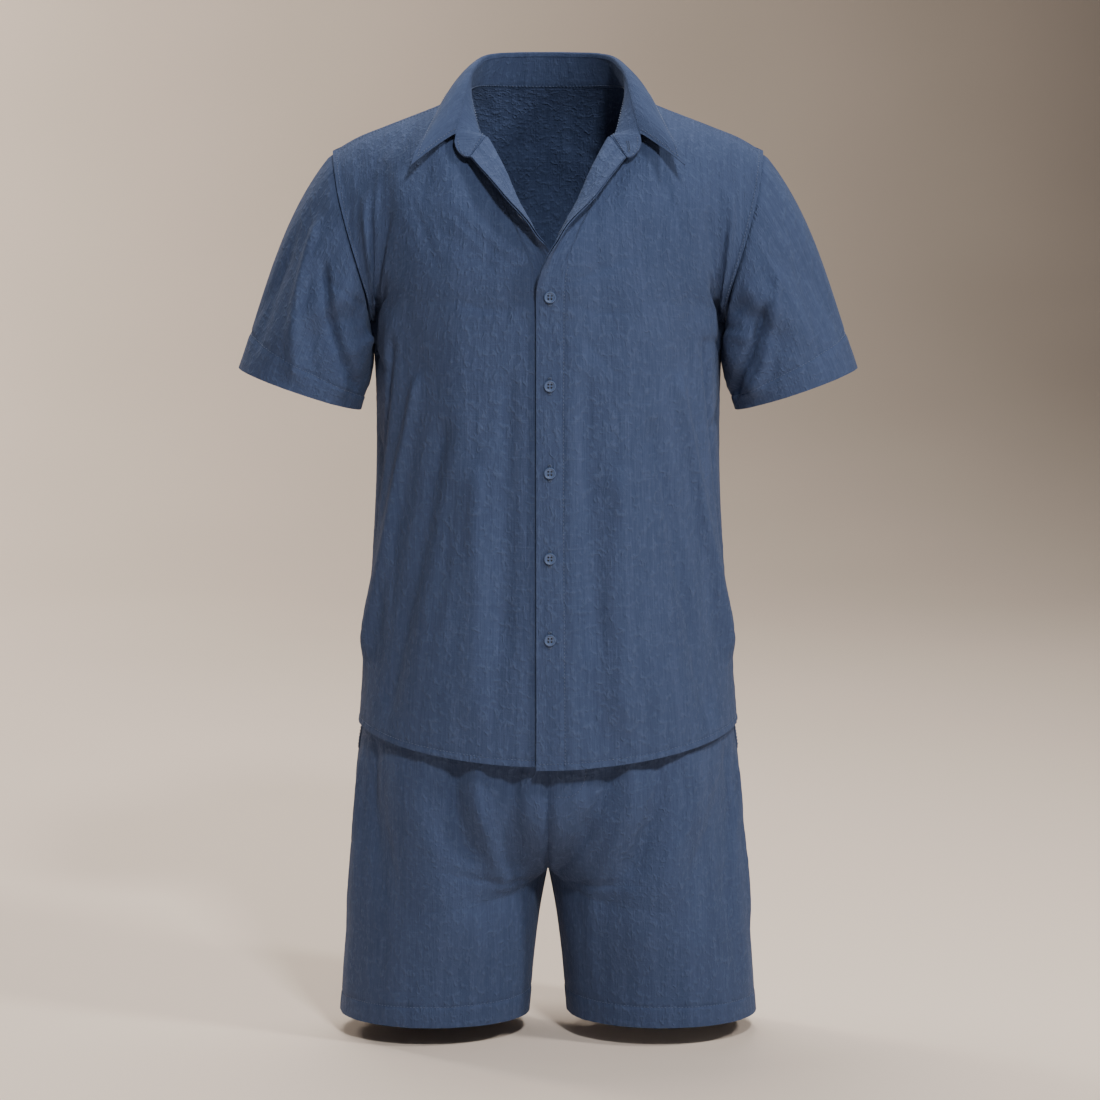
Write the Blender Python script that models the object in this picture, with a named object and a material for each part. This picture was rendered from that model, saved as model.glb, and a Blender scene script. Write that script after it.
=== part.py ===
"""Short-sleeved button shirt and shorts, hollow and in the pose in which they are worn.

Metres, +Z up, the front faces -Y. The origin is where the wearer's shoulders carry the shirt:
the middle of the neck hole, at the height where the shoulder seams leave the collar.
Every cloth piece is a loft through sections worked out from the tables below, given a wall.
"""

import math

import bmesh
import bpy
import numpy as np

# Cloth walls and the gaps at seams
SHIRT_WALL = 0.0015
SHORTS_WALL = 0.0017
FACING_WALL = 0.0010
FACING_WIDTH = 0.027
STAND_WALL = 0.0026
LEAF_WALL = 0.0020
BAND_WALL = 0.0028
SEAM_GAP = 0.0004
STAND_GAP = 0.0008

# Trunk of the shirt: one row for each level, in metres from the middle line
TRUNK_COLUMNS = ("z", "half_width", "front", "back")
TRUNK = (
    (-0.7000, 0.2040, 0.1330, 0.1420),
    (-0.6400, 0.1990, 0.1330, 0.1400),
    (-0.5780, 0.1932, 0.1320, 0.1330),
    (-0.5000, 0.1862, 0.1300, 0.1230),
    (-0.4300, 0.1815, 0.1285, 0.1150),
    (-0.3600, 0.1792, 0.1280, 0.1140),
    (-0.2900, 0.1797, 0.1275, 0.1190),
    (-0.2280, 0.1835, 0.1265, 0.1240),
    (-0.1500, 0.1880, 0.1240, 0.1260),
)
FULLNESS = 0.055  # how much squarer than an ellipse a section is
CHEST_FRONT_Z = -0.1926  # level of the first fastened button
ARMPIT_Z = -0.2280
HEM_CENTRE_Z = -0.6780
HEM_SIDE_Z = -0.6450
HEM_BACK_Z = -0.6900
UNDER_HEM_RISE = 0.003

# Yoke: how the cloth rises from the chest to the shoulder seams and the neckline
YOKE_LIFT = np.array((0.0, 0.0, 0.078))
FRONT_LIFT = np.array((0.030, 0.008, 0.0))  # more at a front's roll line
NECK_WAY = {"front": np.array((0.14, 0.60, 0.78)), "back": np.array((-0.04, -0.55, 0.84))}
SHOULDER_WAY = {"front": np.array((0.0, 0.97, 0.24)), "back": np.array((0.0, -0.97, 0.24))}
SHOULDER_FROM = {"front": (0.0, 0.30), "back": (0.15, 0.42)}  # shares across
NECK_REACH = 0.050
SHOULDER_REACH = 0.062

# Armhole: along 0 at the armpit, 1 at the shoulder point
ARMHOLE_COLUMNS = ("along", "x", "front", "back", "z")
ARMHOLE = (
    (0.00, 0.1835, 0.000, 0.000, -0.2280),
    (0.12, 0.1838, 0.029, 0.030, -0.2230),
    (0.27, 0.1862, 0.055, 0.058, -0.2010),
    (0.45, 0.1968, 0.066, 0.071, -0.1620),
    (0.62, 0.2078, 0.061, 0.068, -0.1240),
    (0.78, 0.2165, 0.047, 0.054, -0.0890),
    (0.90, 0.2210, 0.027, 0.030, -0.0620),
    (1.00, 0.2227, 0.004, -0.004, -0.0500),
)
# Shoulder seam: along 0 at the neck, 1 at the shoulder point
SHOULDER_COLUMNS = ("along", "x", "y", "z")
SHOULDER = (
    (0.00, 0.0830, -0.0080, 0.0115),
    (0.20, 0.1085, -0.0080, 0.0000),
    (0.62, 0.1684, -0.0070, -0.0235),
    (0.83, 0.1990, -0.0055, -0.0360),
    (1.00, 0.2227, -0.0040, -0.0500),
)
# Neckline from the roll line of a front to the shoulder seam, and from there to the centre back
NECK_COLUMNS = ("along", "x", "y", "z")
NECK_FRONT = (
    (0.00, 0.0675, -0.0560, -0.0330),
    (0.34, 0.0730, -0.0455, -0.0205),
    (0.68, 0.0790, -0.0290, -0.0035),
    (1.00, 0.0830, -0.0080, 0.0115),
)
NECK_BACK = (
    (0.00, 0.0000, 0.0730, 0.0130),
    (0.40, 0.0430, 0.0640, 0.0135),
    (0.70, 0.0700, 0.0390, 0.0145),
    (0.87, 0.0800, 0.0150, 0.0140),
    (1.00, 0.0830, -0.0080, 0.0115),
)
# Line along which an open front rolls outwards: along 0 at the first button, 1 at the neckline.
# turned is the cloth beyond the line and angle how far it is turned over, on each front
ROLL_COLUMNS = ("along", "x", "y", "z", "over_turned", "under_turned", "over_angle", "under_angle", "lean")
ROLL = (
    (0.00, 0.0000, -0.1265, -0.1926, 0.0120, 0.0120, 0.0, 0.0, 0.00),
    (0.16, 0.0026, -0.1262, -0.1668, 0.0138, 0.0120, 54.0, 0.0, 0.04),
    (0.23, 0.0062, -0.1248, -0.1545, 0.0153, 0.0108, 74.0, 5.0, 0.06),
    (0.33, 0.0135, -0.1208, -0.1380, 0.0176, 0.0135, 96.0, 80.0, 0.11),
    (0.42, 0.0208, -0.1148, -0.1230, 0.0200, 0.0175, 112.0, 100.0, 0.18),
    (0.55, 0.0325, -0.1045, -0.1030, 0.0235, 0.0225, 132.0, 120.0, 0.30),
    (0.78, 0.0485, -0.0820, -0.0680, 0.0295, 0.0290, 152.0, 148.0, 0.50),
    (1.00, 0.0675, -0.0560, -0.0330, 0.0340, 0.0340, 164.0, 162.0, 0.64),
)
ROLL_RADIUS = 0.0034
ROLL_LENGTH = 0.185
OVERLAP_RAISE = 0.0040  # the left front lies this far above the right one where they lap
OPENED_RAISE = 0.6  # share more where the roll begins, between these levels
OPENED_Z = (-0.225, -0.185)
LAPPED_Z = (-0.140, -0.095)  # levels between which the lap ends
LAPPED_X = (0.022, 0.056)  # the raise dies out between these distances from the middle

# Collar, from the centre back to the rounded end of the stand: the fold where the stand
# ends and the leaf begins, and the leaf's free edge
COLLAR_COLUMNS = ("along", "fold_x", "fold_y", "fold_z", "edge_x", "edge_y", "edge_z")
COLLAR = (
    (0.00, 0.0000, 0.0610, 0.0480, 0.0000, 0.0920, 0.0080),
    (0.20, 0.0390, 0.0525, 0.0475, 0.0520, 0.0835, 0.0080),
    (0.36, 0.0640, 0.0330, 0.0450, 0.0840, 0.0570, 0.0080),
    (0.50, 0.0750, 0.0040, 0.0370, 0.1015, 0.0180, 0.0075),
    (0.66, 0.0830, -0.0250, 0.0225, 0.1105, -0.0220, 0.0000),
    (0.78, 0.0895, -0.0520, -0.0080, 0.1195, -0.0500, -0.0185),
    (0.87, 0.0950, -0.0680, -0.0335, 0.1310, -0.0700, -0.0370),
    (1.00, 0.0955, -0.0860, -0.0560, 0.1390, -0.0900, -0.0575),
)
LEAF_END = 0.87  # share of the stand that the leaf covers
LEAF_RISE = 0.013  # how high the leaf rolls above the stand's top edge at the back
LEAF_FULLNESS = 0.005  # how far it stands out from the stand there
TAB_START = 0.88  # share of the stand where its end begins to round off
TAB_END_HEIGHT = 0.14  # share of the stand's height that is left at its very end

# Sleeve: the ring at its hem, and the way its cloth leaves the armhole
CUFF_CENTRE = np.array((0.2593, -0.0030, -0.2960))
CUFF_ACROSS = np.array((0.946, 0.0, 0.324))
CUFF_HALF_WIDTH = 0.0668
CUFF_HALF_DEPTH = 0.0625
CAP_WAY = np.array((0.74, 0.0, -0.67))
UNDERARM_WAY = np.array((0.27, 0.0, -0.96))
SLEEVE_WAY = np.array((0.335, 0.0, -0.942))
SHOULDER_JOINT = np.array((0.150, 0.0, -0.130))
SLEEVE_BULGE = 0.16  # how far the sleeve leaves the armhole forwards and backwards
SLEEVE_REACH = 0.34

# Shorts above the crotch: one row for each level
HIP_COLUMNS = ("z", "half_width", "front", "back")
HIPS = (
    (-0.8040, 0.2095, 0.1170, 0.1280),
    (-0.7165, 0.2035, 0.1195, 0.1320),
    (-0.6540, 0.1968, 0.1180, 0.1300),
    (-0.6150, 0.1905, 0.1150, 0.1260),
    (-0.5750, 0.1760, 0.1090, 0.1170),
    (-0.5350, 0.1560, 0.1000, 0.1040),
    (-0.5000, 0.1530, 0.0980, 0.1020),
)
# A leg of the shorts, from the hem to the crotch
LEG_COLUMNS = ("z", "outer", "inner", "front", "back")
LEG = (
    (-0.9580, 0.2210, 0.0200, 0.0930, 0.1030),
    (-0.8930, 0.2160, 0.0140, 0.0985, 0.1100),
    (-0.8500, 0.2125, 0.0085, 0.1030, 0.1150),
    (-0.8040, 0.2095, 0.0000, 0.1080, 0.1210),
    (-0.7000, 0.2020, -0.0200, 0.1120, 0.1250),
)
CROTCH_Z = -0.8040
THIGH_Z = -0.8700  # below this level a section is a leg's own ring
FORK_Z = -0.7150  # level where the centre seams stand upright
BAND_BOTTOM_Z = -0.5350
BAND_TOP_Z = -0.5000
FLY_WIDTH = 0.042
FLY_BOTTOM_Z = -0.7040
FLY_CURVE = 0.030  # height of the fly's curved foot
FLY_INSET = 0.006  # share across the front where the fly's facing begins
POCKET_LOW_Z = -0.6750
POCKET_WIDTH = 0.012
POCKET_TOP_INSET = 0.055
POCKET_LOW_SHARE = 0.985  # share across the front at the pocket's low end
TOP_INSET = 0.004  # how far the fly and the pocket edges end below the waistband
POCKET_FLAT_FROM = 0.62  # share across a front from which the pocket keeps it flat
GATHERS_PER_PANEL = 4
GATHER_DEPTH = 0.0026
GATHER_FADE_Z = -0.650

# Largest folds: a soft ridge (+) or trough (-) between two points of a piece.
# across and up are shares of the piece, width and depth are in metres
FOLD_COLUMNS = ("from_across", "from_up", "to_across", "to_up", "width", "depth")
FRONT_FOLDS = (
    (0.62, 0.62, 0.88, 0.06, 0.017, 0.0042),
    (0.50, 0.60, 0.70, 0.02, 0.026, -0.0040),
    (0.30, 0.66, 0.34, 0.02, 0.022, 0.0024),
    (0.10, 0.52, 0.16, 0.02, 0.016, -0.0024),
    (0.93, 0.52, 0.74, 0.80, 0.017, -0.0045),
    (0.14, 0.66, 0.42, 0.76, 0.014, -0.0022),
    (0.60, 0.93, 0.44, 0.70, 0.020, 0.0026),
)
BACK_FOLDS = (
    (0.60, 0.60, 0.84, 0.05, 0.018, 0.0044),
    (0.40, 0.62, 0.52, 0.02, 0.026, -0.0042),
    (0.16, 0.70, 0.20, 0.02, 0.024, 0.0034),
    (0.94, 0.52, 0.70, 0.82, 0.018, -0.0045),
    (0.02, 0.86, 0.36, 0.72, 0.018, -0.0024),
)
SLEEVE_FOLDS = (
    (0.36, 0.06, 0.23, 0.72, 0.012, 0.0046),
    (0.30, 0.12, 0.15, 0.86, 0.014, -0.0042),
    (0.43, 0.16, 0.34, 0.98, 0.013, -0.0048),
    (0.10, 0.10, 0.08, 0.80, 0.016, 0.0028),
    (0.64, 0.08, 0.78, 0.76, 0.014, 0.0042),
    (0.57, 0.16, 0.66, 0.96, 0.014, -0.0046),
    (0.86, 0.12, 0.90, 0.84, 0.018, -0.0026),
)
SHORTS_FRONT_FOLDS = (
    (0.04, 0.42, 0.34, 0.88, 0.018, -0.0044),
    (0.06, 0.34, 0.62, 0.60, 0.020, 0.0030),
    (0.46, 0.72, 0.40, 0.14, 0.022, 0.0040),
    (0.80, 0.56, 0.88, 0.04, 0.012, 0.0030),
    (0.68, 0.66, 0.66, 0.24, 0.018, -0.0032),
)
SHORTS_BACK_FOLDS = (
    (0.04, 0.40, 0.40, 0.84, 0.020, -0.0046),
    (0.06, 0.32, 0.60, 0.56, 0.022, 0.0034),
    (0.52, 0.70, 0.50, 0.12, 0.022, 0.0036),
    (0.82, 0.56, 0.88, 0.04, 0.014, 0.0028),
)

# Buttons: four holes, a raised rim
BUTTON_RADIUS = 0.0060
BUTTON_HEIGHT = 0.0022
BUTTON_RIM = 0.0012
BUTTON_DISH = 0.0006
BUTTON_BEVEL = 0.0005
BUTTON_GAP = 0.0006
BUTTON_HOLE_RADIUS = 0.00075
BUTTON_HOLE_SPACING = 0.0026
BUTTON_DROPS = (0.0000, 0.0902, 0.1791, 0.2668, 0.3504)
OPEN_BUTTON_ALONG = 0.50  # share of the right front's roll
OPEN_BUTTON_TURN = 0.55  # share of the cloth beyond the roll
COLLAR_BUTTON_ALONG = 0.93  # share of the stand
BUTTON_COLUMN = 0.007  # share across the left front

# Grid lines of each piece
STRIP_LINES = (-1.0, -0.955, -0.85, -0.65, -0.42, -0.31, -0.20, -0.10)
BACK_NECK_SHARE = 0.38
BACK_NECK_STEPS = 5
SHOULDER_STEPS = 8
FRONT_STEPS = 11
LOWER_STEPS = 10
ROLL_STEPS = 9
NECK_STEPS = 4
UPPER_STEPS = ROLL_STEPS + NECK_STEPS
ROLL_SHARE = ROLL_STEPS / UPPER_STEPS
LOWER_SHARE = 0.62
SLEEVE_STEPS = 8
STAND_STEPS = 3
LEAF_STEPS = 5
SHORTS_ACROSS = 16
LEG_STEPS = 4
FORK_STEPS = 5
HIP_STEPS = 5
FRONT_WIDTH = 0.25
FRONT_HEIGHT = 0.70
SLEEVE_GIRTH = 0.41
SLEEVE_LENGTH = 0.20
SHORTS_WIDTH = 0.27
SHORTS_HEIGHT = 0.42

CLOTH_COLOUR = (0.062, 0.098, 0.190, 1.0)
STAND_COLOUR = (0.072, 0.112, 0.210, 1.0)
BUTTON_COLOUR = (0.110, 0.160, 0.270, 1.0)


def material(name, colour, roughness):
    """A Principled material of one finish."""
    made = bpy.data.materials.new(name)
    made.use_nodes = True
    shader = made.node_tree.nodes["Principled BSDF"]
    shader.inputs["Base Color"].default_value = colour
    shader.inputs["Roughness"].default_value = roughness
    shader.inputs["Metallic"].default_value = 0.0
    return made


def unit(vectors):
    """The vectors at length 1."""
    return vectors / np.linalg.norm(vectors, axis=-1, keepdims=True)


def ease(low, high, value):
    """0 below low, 1 above high, and a smooth step between them."""
    share = np.clip((value - low) / (high - low), 0.0, 1.0)
    return share * share * (3.0 - 2.0 * share)


def read(table, columns, names, at):
    """The named columns of a table at the places at, on a smooth curve through its rows."""
    rows = np.array(table, float)
    keys = rows[:, 0]
    values = rows[:, [columns.index(name) for name in names]]
    slopes = np.gradient(values, keys, axis=0)
    at = np.clip(np.asarray(at, float), keys[0], keys[-1])
    i = np.clip(np.searchsorted(keys, at, side="right") - 1, 0, len(keys) - 2)
    span = (keys[i + 1] - keys[i])[..., None]
    u = (at - keys[i])[..., None] / span
    start = (1 + 2 * u) * (1 - u) ** 2 * values[i] + u * (1 - u) ** 2 * span * slopes[i]
    end = u * u * (3 - 2 * u) * values[i + 1] + u * u * (u - 1) * span * slopes[i + 1]
    return start + end


def bezier(a, b, c, d, t):
    """Cubic curve with the control points a, b, c and d."""
    t = t[..., None]
    return (1 - t) ** 3 * a + 3 * t * (1 - t) ** 2 * b + 3 * t * t * (1 - t) * c + t**3 * d


def fold_height(across, up, folds, width, height):
    """How far the folds lift the cloth at shares across and up of a piece of that size."""
    total = np.zeros(np.broadcast(across, up).shape)
    for from_across, from_up, to_across, to_up, reach, depth in folds:
        start = np.array((from_across * width, from_up * height))
        way = np.array((to_across * width, to_up * height)) - start
        length = np.hypot(*way)
        way = way / length
        x = across * width - start[0]
        y = up * height - start[1]
        along = x * way[0] + y * way[1]
        aside = x * way[1] - y * way[0]
        spread = reach * (0.75 + 0.5 * np.clip(along / length, 0, 1))
        fade = ease(-reach, 2 * reach, along) * (1 - ease(length - 3 * reach, length + reach, along))
        total = total + depth * np.exp(-((aside / spread) ** 2)) * fade
    return total


def grid(across, up):
    """The shares across and up at every point of a piece, one row for each up."""
    return np.meshgrid(np.asarray(across, float), np.asarray(up, float))


def normals_of(surface, across, up, step=1e-3):
    """Outward unit normals of a surface function at the shares across and up."""
    a = surface(across + step, up) - surface(across - step, up)
    b = surface(across, up + step) - surface(across, up - step)
    return unit(np.cross(a, b))


def trunk(angle, z, half):
    """Point of the shirt's trunk: angle 0 at the centre line, pi/2 at the side seam."""
    width, depth = np.moveaxis(read(TRUNK, TRUNK_COLUMNS, ("half_width", half), z), -1, 0)
    fuller = 1 + FULLNESS * np.sin(2 * angle) ** 2
    way = -1.0 if half == "front" else 1.0
    x = width * np.sin(angle) * fuller
    return np.stack((x, way * depth * np.cos(angle) * fuller, z + 0 * x), axis=-1)


def armhole(along, half):
    """Point of the armhole's edge, from the armpit to the shoulder point."""
    x, depth, z = np.moveaxis(read(ARMHOLE, ARMHOLE_COLUMNS, ("x", half, "z"), along), -1, 0)
    return np.stack((x, -depth if half == "front" else depth, z), axis=-1)


def top_edge(share, half):
    """Point of a panel's top edge: a front's shoulder seam, the back's neckline and seam."""
    if half == "front":
        return read(SHOULDER, SHOULDER_COLUMNS, ("x", "y", "z"), share)
    on_neck = read(NECK_BACK, NECK_COLUMNS, ("x", "y", "z"), share / BACK_NECK_SHARE)
    on_seam = (share - BACK_NECK_SHARE) / (1 - BACK_NECK_SHARE)
    on_shoulder = read(SHOULDER, SHOULDER_COLUMNS, ("x", "y", "z"), on_seam)
    return np.where((share < BACK_NECK_SHARE)[..., None], on_neck, on_shoulder)


def inner_edge(rise):
    """Point of a front's edge above the first button: its roll line, then its neckline."""
    on_roll = read(ROLL, ROLL_COLUMNS, ("x", "y", "z"), rise / ROLL_SHARE)
    on_neck = read(NECK_FRONT, NECK_COLUMNS, ("x", "y", "z"), (rise - ROLL_SHARE) / (1 - ROLL_SHARE))
    return np.where((rise < ROLL_SHARE)[..., None], on_roll, on_neck)


def chest_point(share, half):
    """Point of the line round the chest, from the centre line to the armpit."""
    front_z = CHEST_FRONT_Z + (ARMPIT_Z - CHEST_FRONT_Z) * share**2
    return trunk(share * math.pi / 2, front_z, half)


def yoke_curve(share, rise, half):
    """Smooth rise from the chest line to the top edge."""
    bottom = chest_point(share, half)
    top = top_edge(share, half)
    lift = YOKE_LIFT
    if half == "front":
        lift = lift + FRONT_LIFT * ((1 - share) ** 2)[..., None]
    to_shoulder = ease(*SHOULDER_FROM[half], share)[..., None]
    neck_way, shoulder_way = unit(NECK_WAY[half]), unit(SHOULDER_WAY[half])
    top_way = neck_way + (shoulder_way - neck_way) * to_shoulder
    reach = NECK_REACH + (SHOULDER_REACH - NECK_REACH) * to_shoulder
    return bezier(bottom, bottom + lift, top - top_way * reach, top, rise)


def yoke_point(share, rise, half):
    """Point above the chest line, with the armhole and a front's own edge as its sides."""
    points = yoke_curve(share, rise, half)
    outer = armhole(rise, half) - yoke_curve(np.ones_like(share), rise, half)
    points = points + outer * (share**3)[..., None]
    if half == "front":
        inner = inner_edge(rise) - yoke_curve(np.zeros_like(share), rise, half)
        points = points + inner * ((1 - share) ** 3)[..., None]
    return points


def panel_point(share, up, half, hem_z):
    """Smooth form of a shirt panel: share across it, up from the hem to the top edge."""
    share = np.clip(share, 0.0, 1.0)
    angle = share * math.pi / 2
    hem = hem_z + (HEM_SIDE_Z - hem_z) * np.sin(angle) ** 2
    chest = chest_point(share, half)
    low = np.clip(up / LOWER_SHARE, 0.0, 1.0)
    lower = trunk(angle, hem + (chest[..., 2] - hem) * low, half)
    rise = np.clip((up - LOWER_SHARE) / (1 - LOWER_SHARE), 0.0, 1.0)
    return np.where((up <= LOWER_SHARE)[..., None], lower, yoke_point(share, rise, half))


def folded(form, folds, width, height, across, up):
    """The form with its folds, which die out at the seams on both sides and at the top."""
    edges = ease(0.07, 0.20, across) * ease(0.0, 0.08, 1 - across) * ease(0.0, 0.10, 1 - up)
    lift = fold_height(across, up, folds, width, height) * edges
    inside = np.clip(across, 0.002, 0.998), np.clip(up, 0.002, 0.998)
    return form(across, up) + normals_of(form, *inside) * lift[..., None]


def front_main(share, up, over):
    """Outer face of the left front, from its roll line to the side. over says it laps the other."""
    hem_z = HEM_CENTRE_Z + (0.0 if over else UNDER_HEM_RISE)

    def form(across, height):
        points = panel_point(across, height, "front", hem_z)
        if over:
            near = 1 - ease(*LAPPED_X, points[..., 0])
            lapped = 1 - ease(*LAPPED_Z, points[..., 2])
            opened = 1 + OPENED_RAISE * ease(*OPENED_Z, points[..., 2])
            points = points - np.array((0.0, OVERLAP_RAISE, 0.0)) * (near * lapped * opened)[..., None]
        return points

    return folded(form, FRONT_FOLDS, FRONT_WIDTH, FRONT_HEIGHT, share, up)


def front_strip(turn, up, over):
    """The cloth beyond the roll line: turn 0 on the line, 1 at the free edge."""
    per_along = ROLL_SHARE * (1 - LOWER_SHARE)
    which = "over" if over else "under"
    wanted = ("lean", f"{which}_turned")
    lean, width = np.moveaxis(read(ROLL, ROLL_COLUMNS, wanted, (up - LOWER_SHARE) / per_along), -1, 0)
    beyond = turn * width
    up = np.clip(up - lean * beyond / ROLL_LENGTH * per_along, 0.0, 1.0)
    degrees = read(ROLL, ROLL_COLUMNS, (f"{which}_angle",), (up - LOWER_SHARE) / per_along)[..., 0]
    angle = np.radians(np.maximum(degrees, 0.0))
    on_line = np.zeros_like(up)
    step = 2e-3
    here = front_main(on_line, up, over)
    low, high = np.clip(up - step, 0, 1), np.clip(up + step, 0, 1)
    along = unit(front_main(on_line, high, over) - front_main(on_line, low, over))
    out = front_main(on_line + 0.02, up, over) - here
    out = unit(out - along * (out * along).sum(-1, keepdims=True))
    face = np.cross(out, along)
    bent = np.minimum(beyond, ROLL_RADIUS * angle)
    straight = beyond - bent
    at = bent / ROLL_RADIUS
    back = -ROLL_RADIUS * np.sin(at) - straight * np.cos(angle)
    forward = ROLL_RADIUS * (1 - np.cos(at)) + straight * np.sin(angle)
    return here + out * back[..., None] + face * forward[..., None]


def front_point(column, up, over):
    """Outer face of the left front: column -1 at the free edge, 0 on the roll line, 1 at the side."""
    main = front_main(np.clip(column, 0.0, 1.0), up, over)
    strip = front_strip(np.clip(-column, 0.0, 1.0), up, over)
    return np.where((column >= 0)[..., None], main, strip)


def back_point(column, up):
    """Outer face of the back: column -1 at the right side seam, 0 at the centre, 1 at the left."""
    side = np.where(column < 0, -1.0, 1.0)

    def form(across, height):
        return panel_point(across, height, "back", HEM_BACK_Z)

    share = np.abs(column)
    lift = fold_height(share, up, BACK_FOLDS, FRONT_WIDTH, FRONT_HEIGHT)
    lift = lift * ease(0.0, 0.08, 1 - share) * ease(0.0, 0.10, 1 - up)
    inside = np.clip(share, 0.002, 0.998), np.clip(up, 0.002, 0.998)
    points = form(share, up) - normals_of(form, *inside) * lift[..., None]
    return points * np.stack((side, np.ones_like(side), np.ones_like(side)), axis=-1)


def sleeve_point(around, down):
    """Outer face of the left sleeve: around 0 at the shoulder point, 0.25 in front,
    0.5 at the armpit, 0.75 behind; down 0 at the armhole, 1 at the hem."""

    def form(turn, out):
        turn = turn % 1.0
        front = armhole(1 - 2 * turn, "front")
        back = armhole(2 * turn - 1, "back")
        start = np.where((turn <= 0.5)[..., None], front, back)
        angle = turn * 2 * math.pi
        across = np.cos(angle)[..., None] * CUFF_ACROSS * CUFF_HALF_WIDTH
        deep = np.sin(angle)[..., None] * np.array((0.0, -CUFF_HALF_DEPTH, 0.0))
        end = CUFF_CENTRE + across + deep
        top = ((1 + np.cos(angle)) / 2)[..., None]
        bulge = np.sin(angle)[..., None] * np.array((0.0, -SLEEVE_BULGE, 0.0))
        leave = unit(UNDERARM_WAY + (CAP_WAY - UNDERARM_WAY) * top + bulge)
        reach = SLEEVE_REACH * np.linalg.norm(end - start, axis=-1, keepdims=True)
        return bezier(start, start + leave * reach, end - SLEEVE_WAY * reach, end, out)

    lift = fold_height(around, down, SLEEVE_FOLDS, SLEEVE_GIRTH, SLEEVE_LENGTH)
    lift = lift * ease(0.0, 0.12, down) * ease(0.0, 0.04, around) * ease(0.0, 0.04, 1 - around)
    normals = -normals_of(form, around, np.clip(down, 0.01, 0.99))
    return form(around, down) + normals * lift[..., None]


def shorts_section(u, z, half):
    """The shorts' level section at z: a leg's half ring that opens into a quarter of the hips."""
    way = -1.0 if half == "front" else 1.0
    outer, inner, depth = np.moveaxis(read(LEG, LEG_COLUMNS, ("outer", "inner", half), z), -1, 0)
    angle = math.pi * u
    leg_x = (outer + inner) / 2 - (outer - inner) / 2 * np.cos(angle)
    leg_y = way * depth * np.sin(angle)
    width, deep = np.moveaxis(read(HIPS, HIP_COLUMNS, ("half_width", half), z), -1, 0)
    fuller = 1 + FULLNESS * np.sin(angle) ** 2
    hip_x = width * np.sin(angle / 2) * fuller
    hip_y = way * deep * np.cos(angle / 2) * fuller
    opened = ease(THIGH_Z, FORK_Z + 0.02, z)
    x = leg_x + (hip_x - leg_x) * opened
    y = leg_y + (hip_y - leg_y) * opened
    return np.stack((x, y, z + 0 * x), axis=-1)


def shorts_point(across, up, half):
    """Outer face of the left leg: across 0 at the centre seam and inseam, 1 at the side seam;
    up 0 at the hem, 1 at the waistband."""
    way = -1.0 if half == "front" else 1.0
    leg_share = LEG_STEPS / (LEG_STEPS + FORK_STEPS + HIP_STEPS)
    fork_share = (LEG_STEPS + FORK_STEPS) / (LEG_STEPS + FORK_STEPS + HIP_STEPS)

    def form(u, v):
        fork = np.clip((v - leg_share) / (fork_share - leg_share), 0.0, 1.0) * math.pi / 2
        leg_z = LEG[0][0] + (CROTCH_Z - LEG[0][0]) * np.clip(v / leg_share, 0.0, 1.0)
        fork_z = CROTCH_Z + (FORK_Z - CROTCH_Z) * (1 - np.cos(fork))
        hip_up = np.clip((v - fork_share) / (1 - fork_share), 0.0, 1.0)
        centre_z = np.where(v < leg_share, leg_z, fork_z + (BAND_BOTTOM_Z - FORK_Z) * hip_up)
        side_z = LEG[0][0] + (BAND_BOTTOM_Z - LEG[0][0]) * v
        section_z = centre_z + (side_z - centre_z) * (1 - (1 - u) ** 2.5)
        points = shorts_section(u, section_z, half)
        seam_y = way * np.sin(fork) * read(HIPS, HIP_COLUMNS, (half,), centre_z)[..., 0]
        inner = read(LEG, LEG_COLUMNS, ("inner",), centre_z)[..., 0] * (v < leg_share)
        seam = np.stack((inner, seam_y, centre_z), axis=-1)
        return points + (seam - shorts_section(0 * u, centre_z, half)) * ((1 - u) ** 5)[..., None]

    folds = SHORTS_FRONT_FOLDS if half == "front" else SHORTS_BACK_FOLDS
    lift = fold_height(across, up, folds, SHORTS_WIDTH, SHORTS_HEIGHT)
    lift = lift * ease(0.0, 0.10, across) * ease(0.0, 0.08, 1 - across) * ease(0.0, 0.12, 1 - up)
    smooth = form(across, up)
    gathered = ease(GATHER_FADE_Z, BAND_BOTTOM_Z - 0.012, smooth[..., 2])
    gathered = gathered * ease(0.0, 0.05, across) * ease(0.0, 0.05, 1 - across)
    if half == "front":
        gathered = gathered * (1 - ease(POCKET_FLAT_FROM, POCKET_FLAT_FROM + 0.12, across))
    waves = np.sin(2 * math.pi * GATHERS_PER_PANEL * across) * GATHER_DEPTH * gathered
    inside = np.clip(across, 0.004, 0.996), np.clip(up, 0.004, 0.996)
    outward = normals_of(form, *inside) * (1.0 if half == "front" else -1.0)
    return smooth + outward * (lift + waves)[..., None]


def grid_normals(points, closed):
    """Unit normals of a grid of points, from its neighbours; columns run round if it is closed."""
    if closed:
        across = np.roll(points, -1, axis=1) - np.roll(points, 1, axis=1)
    else:
        across = np.gradient(points, axis=1)
    return unit(np.cross(across, np.gradient(points, axis=0)))


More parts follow.
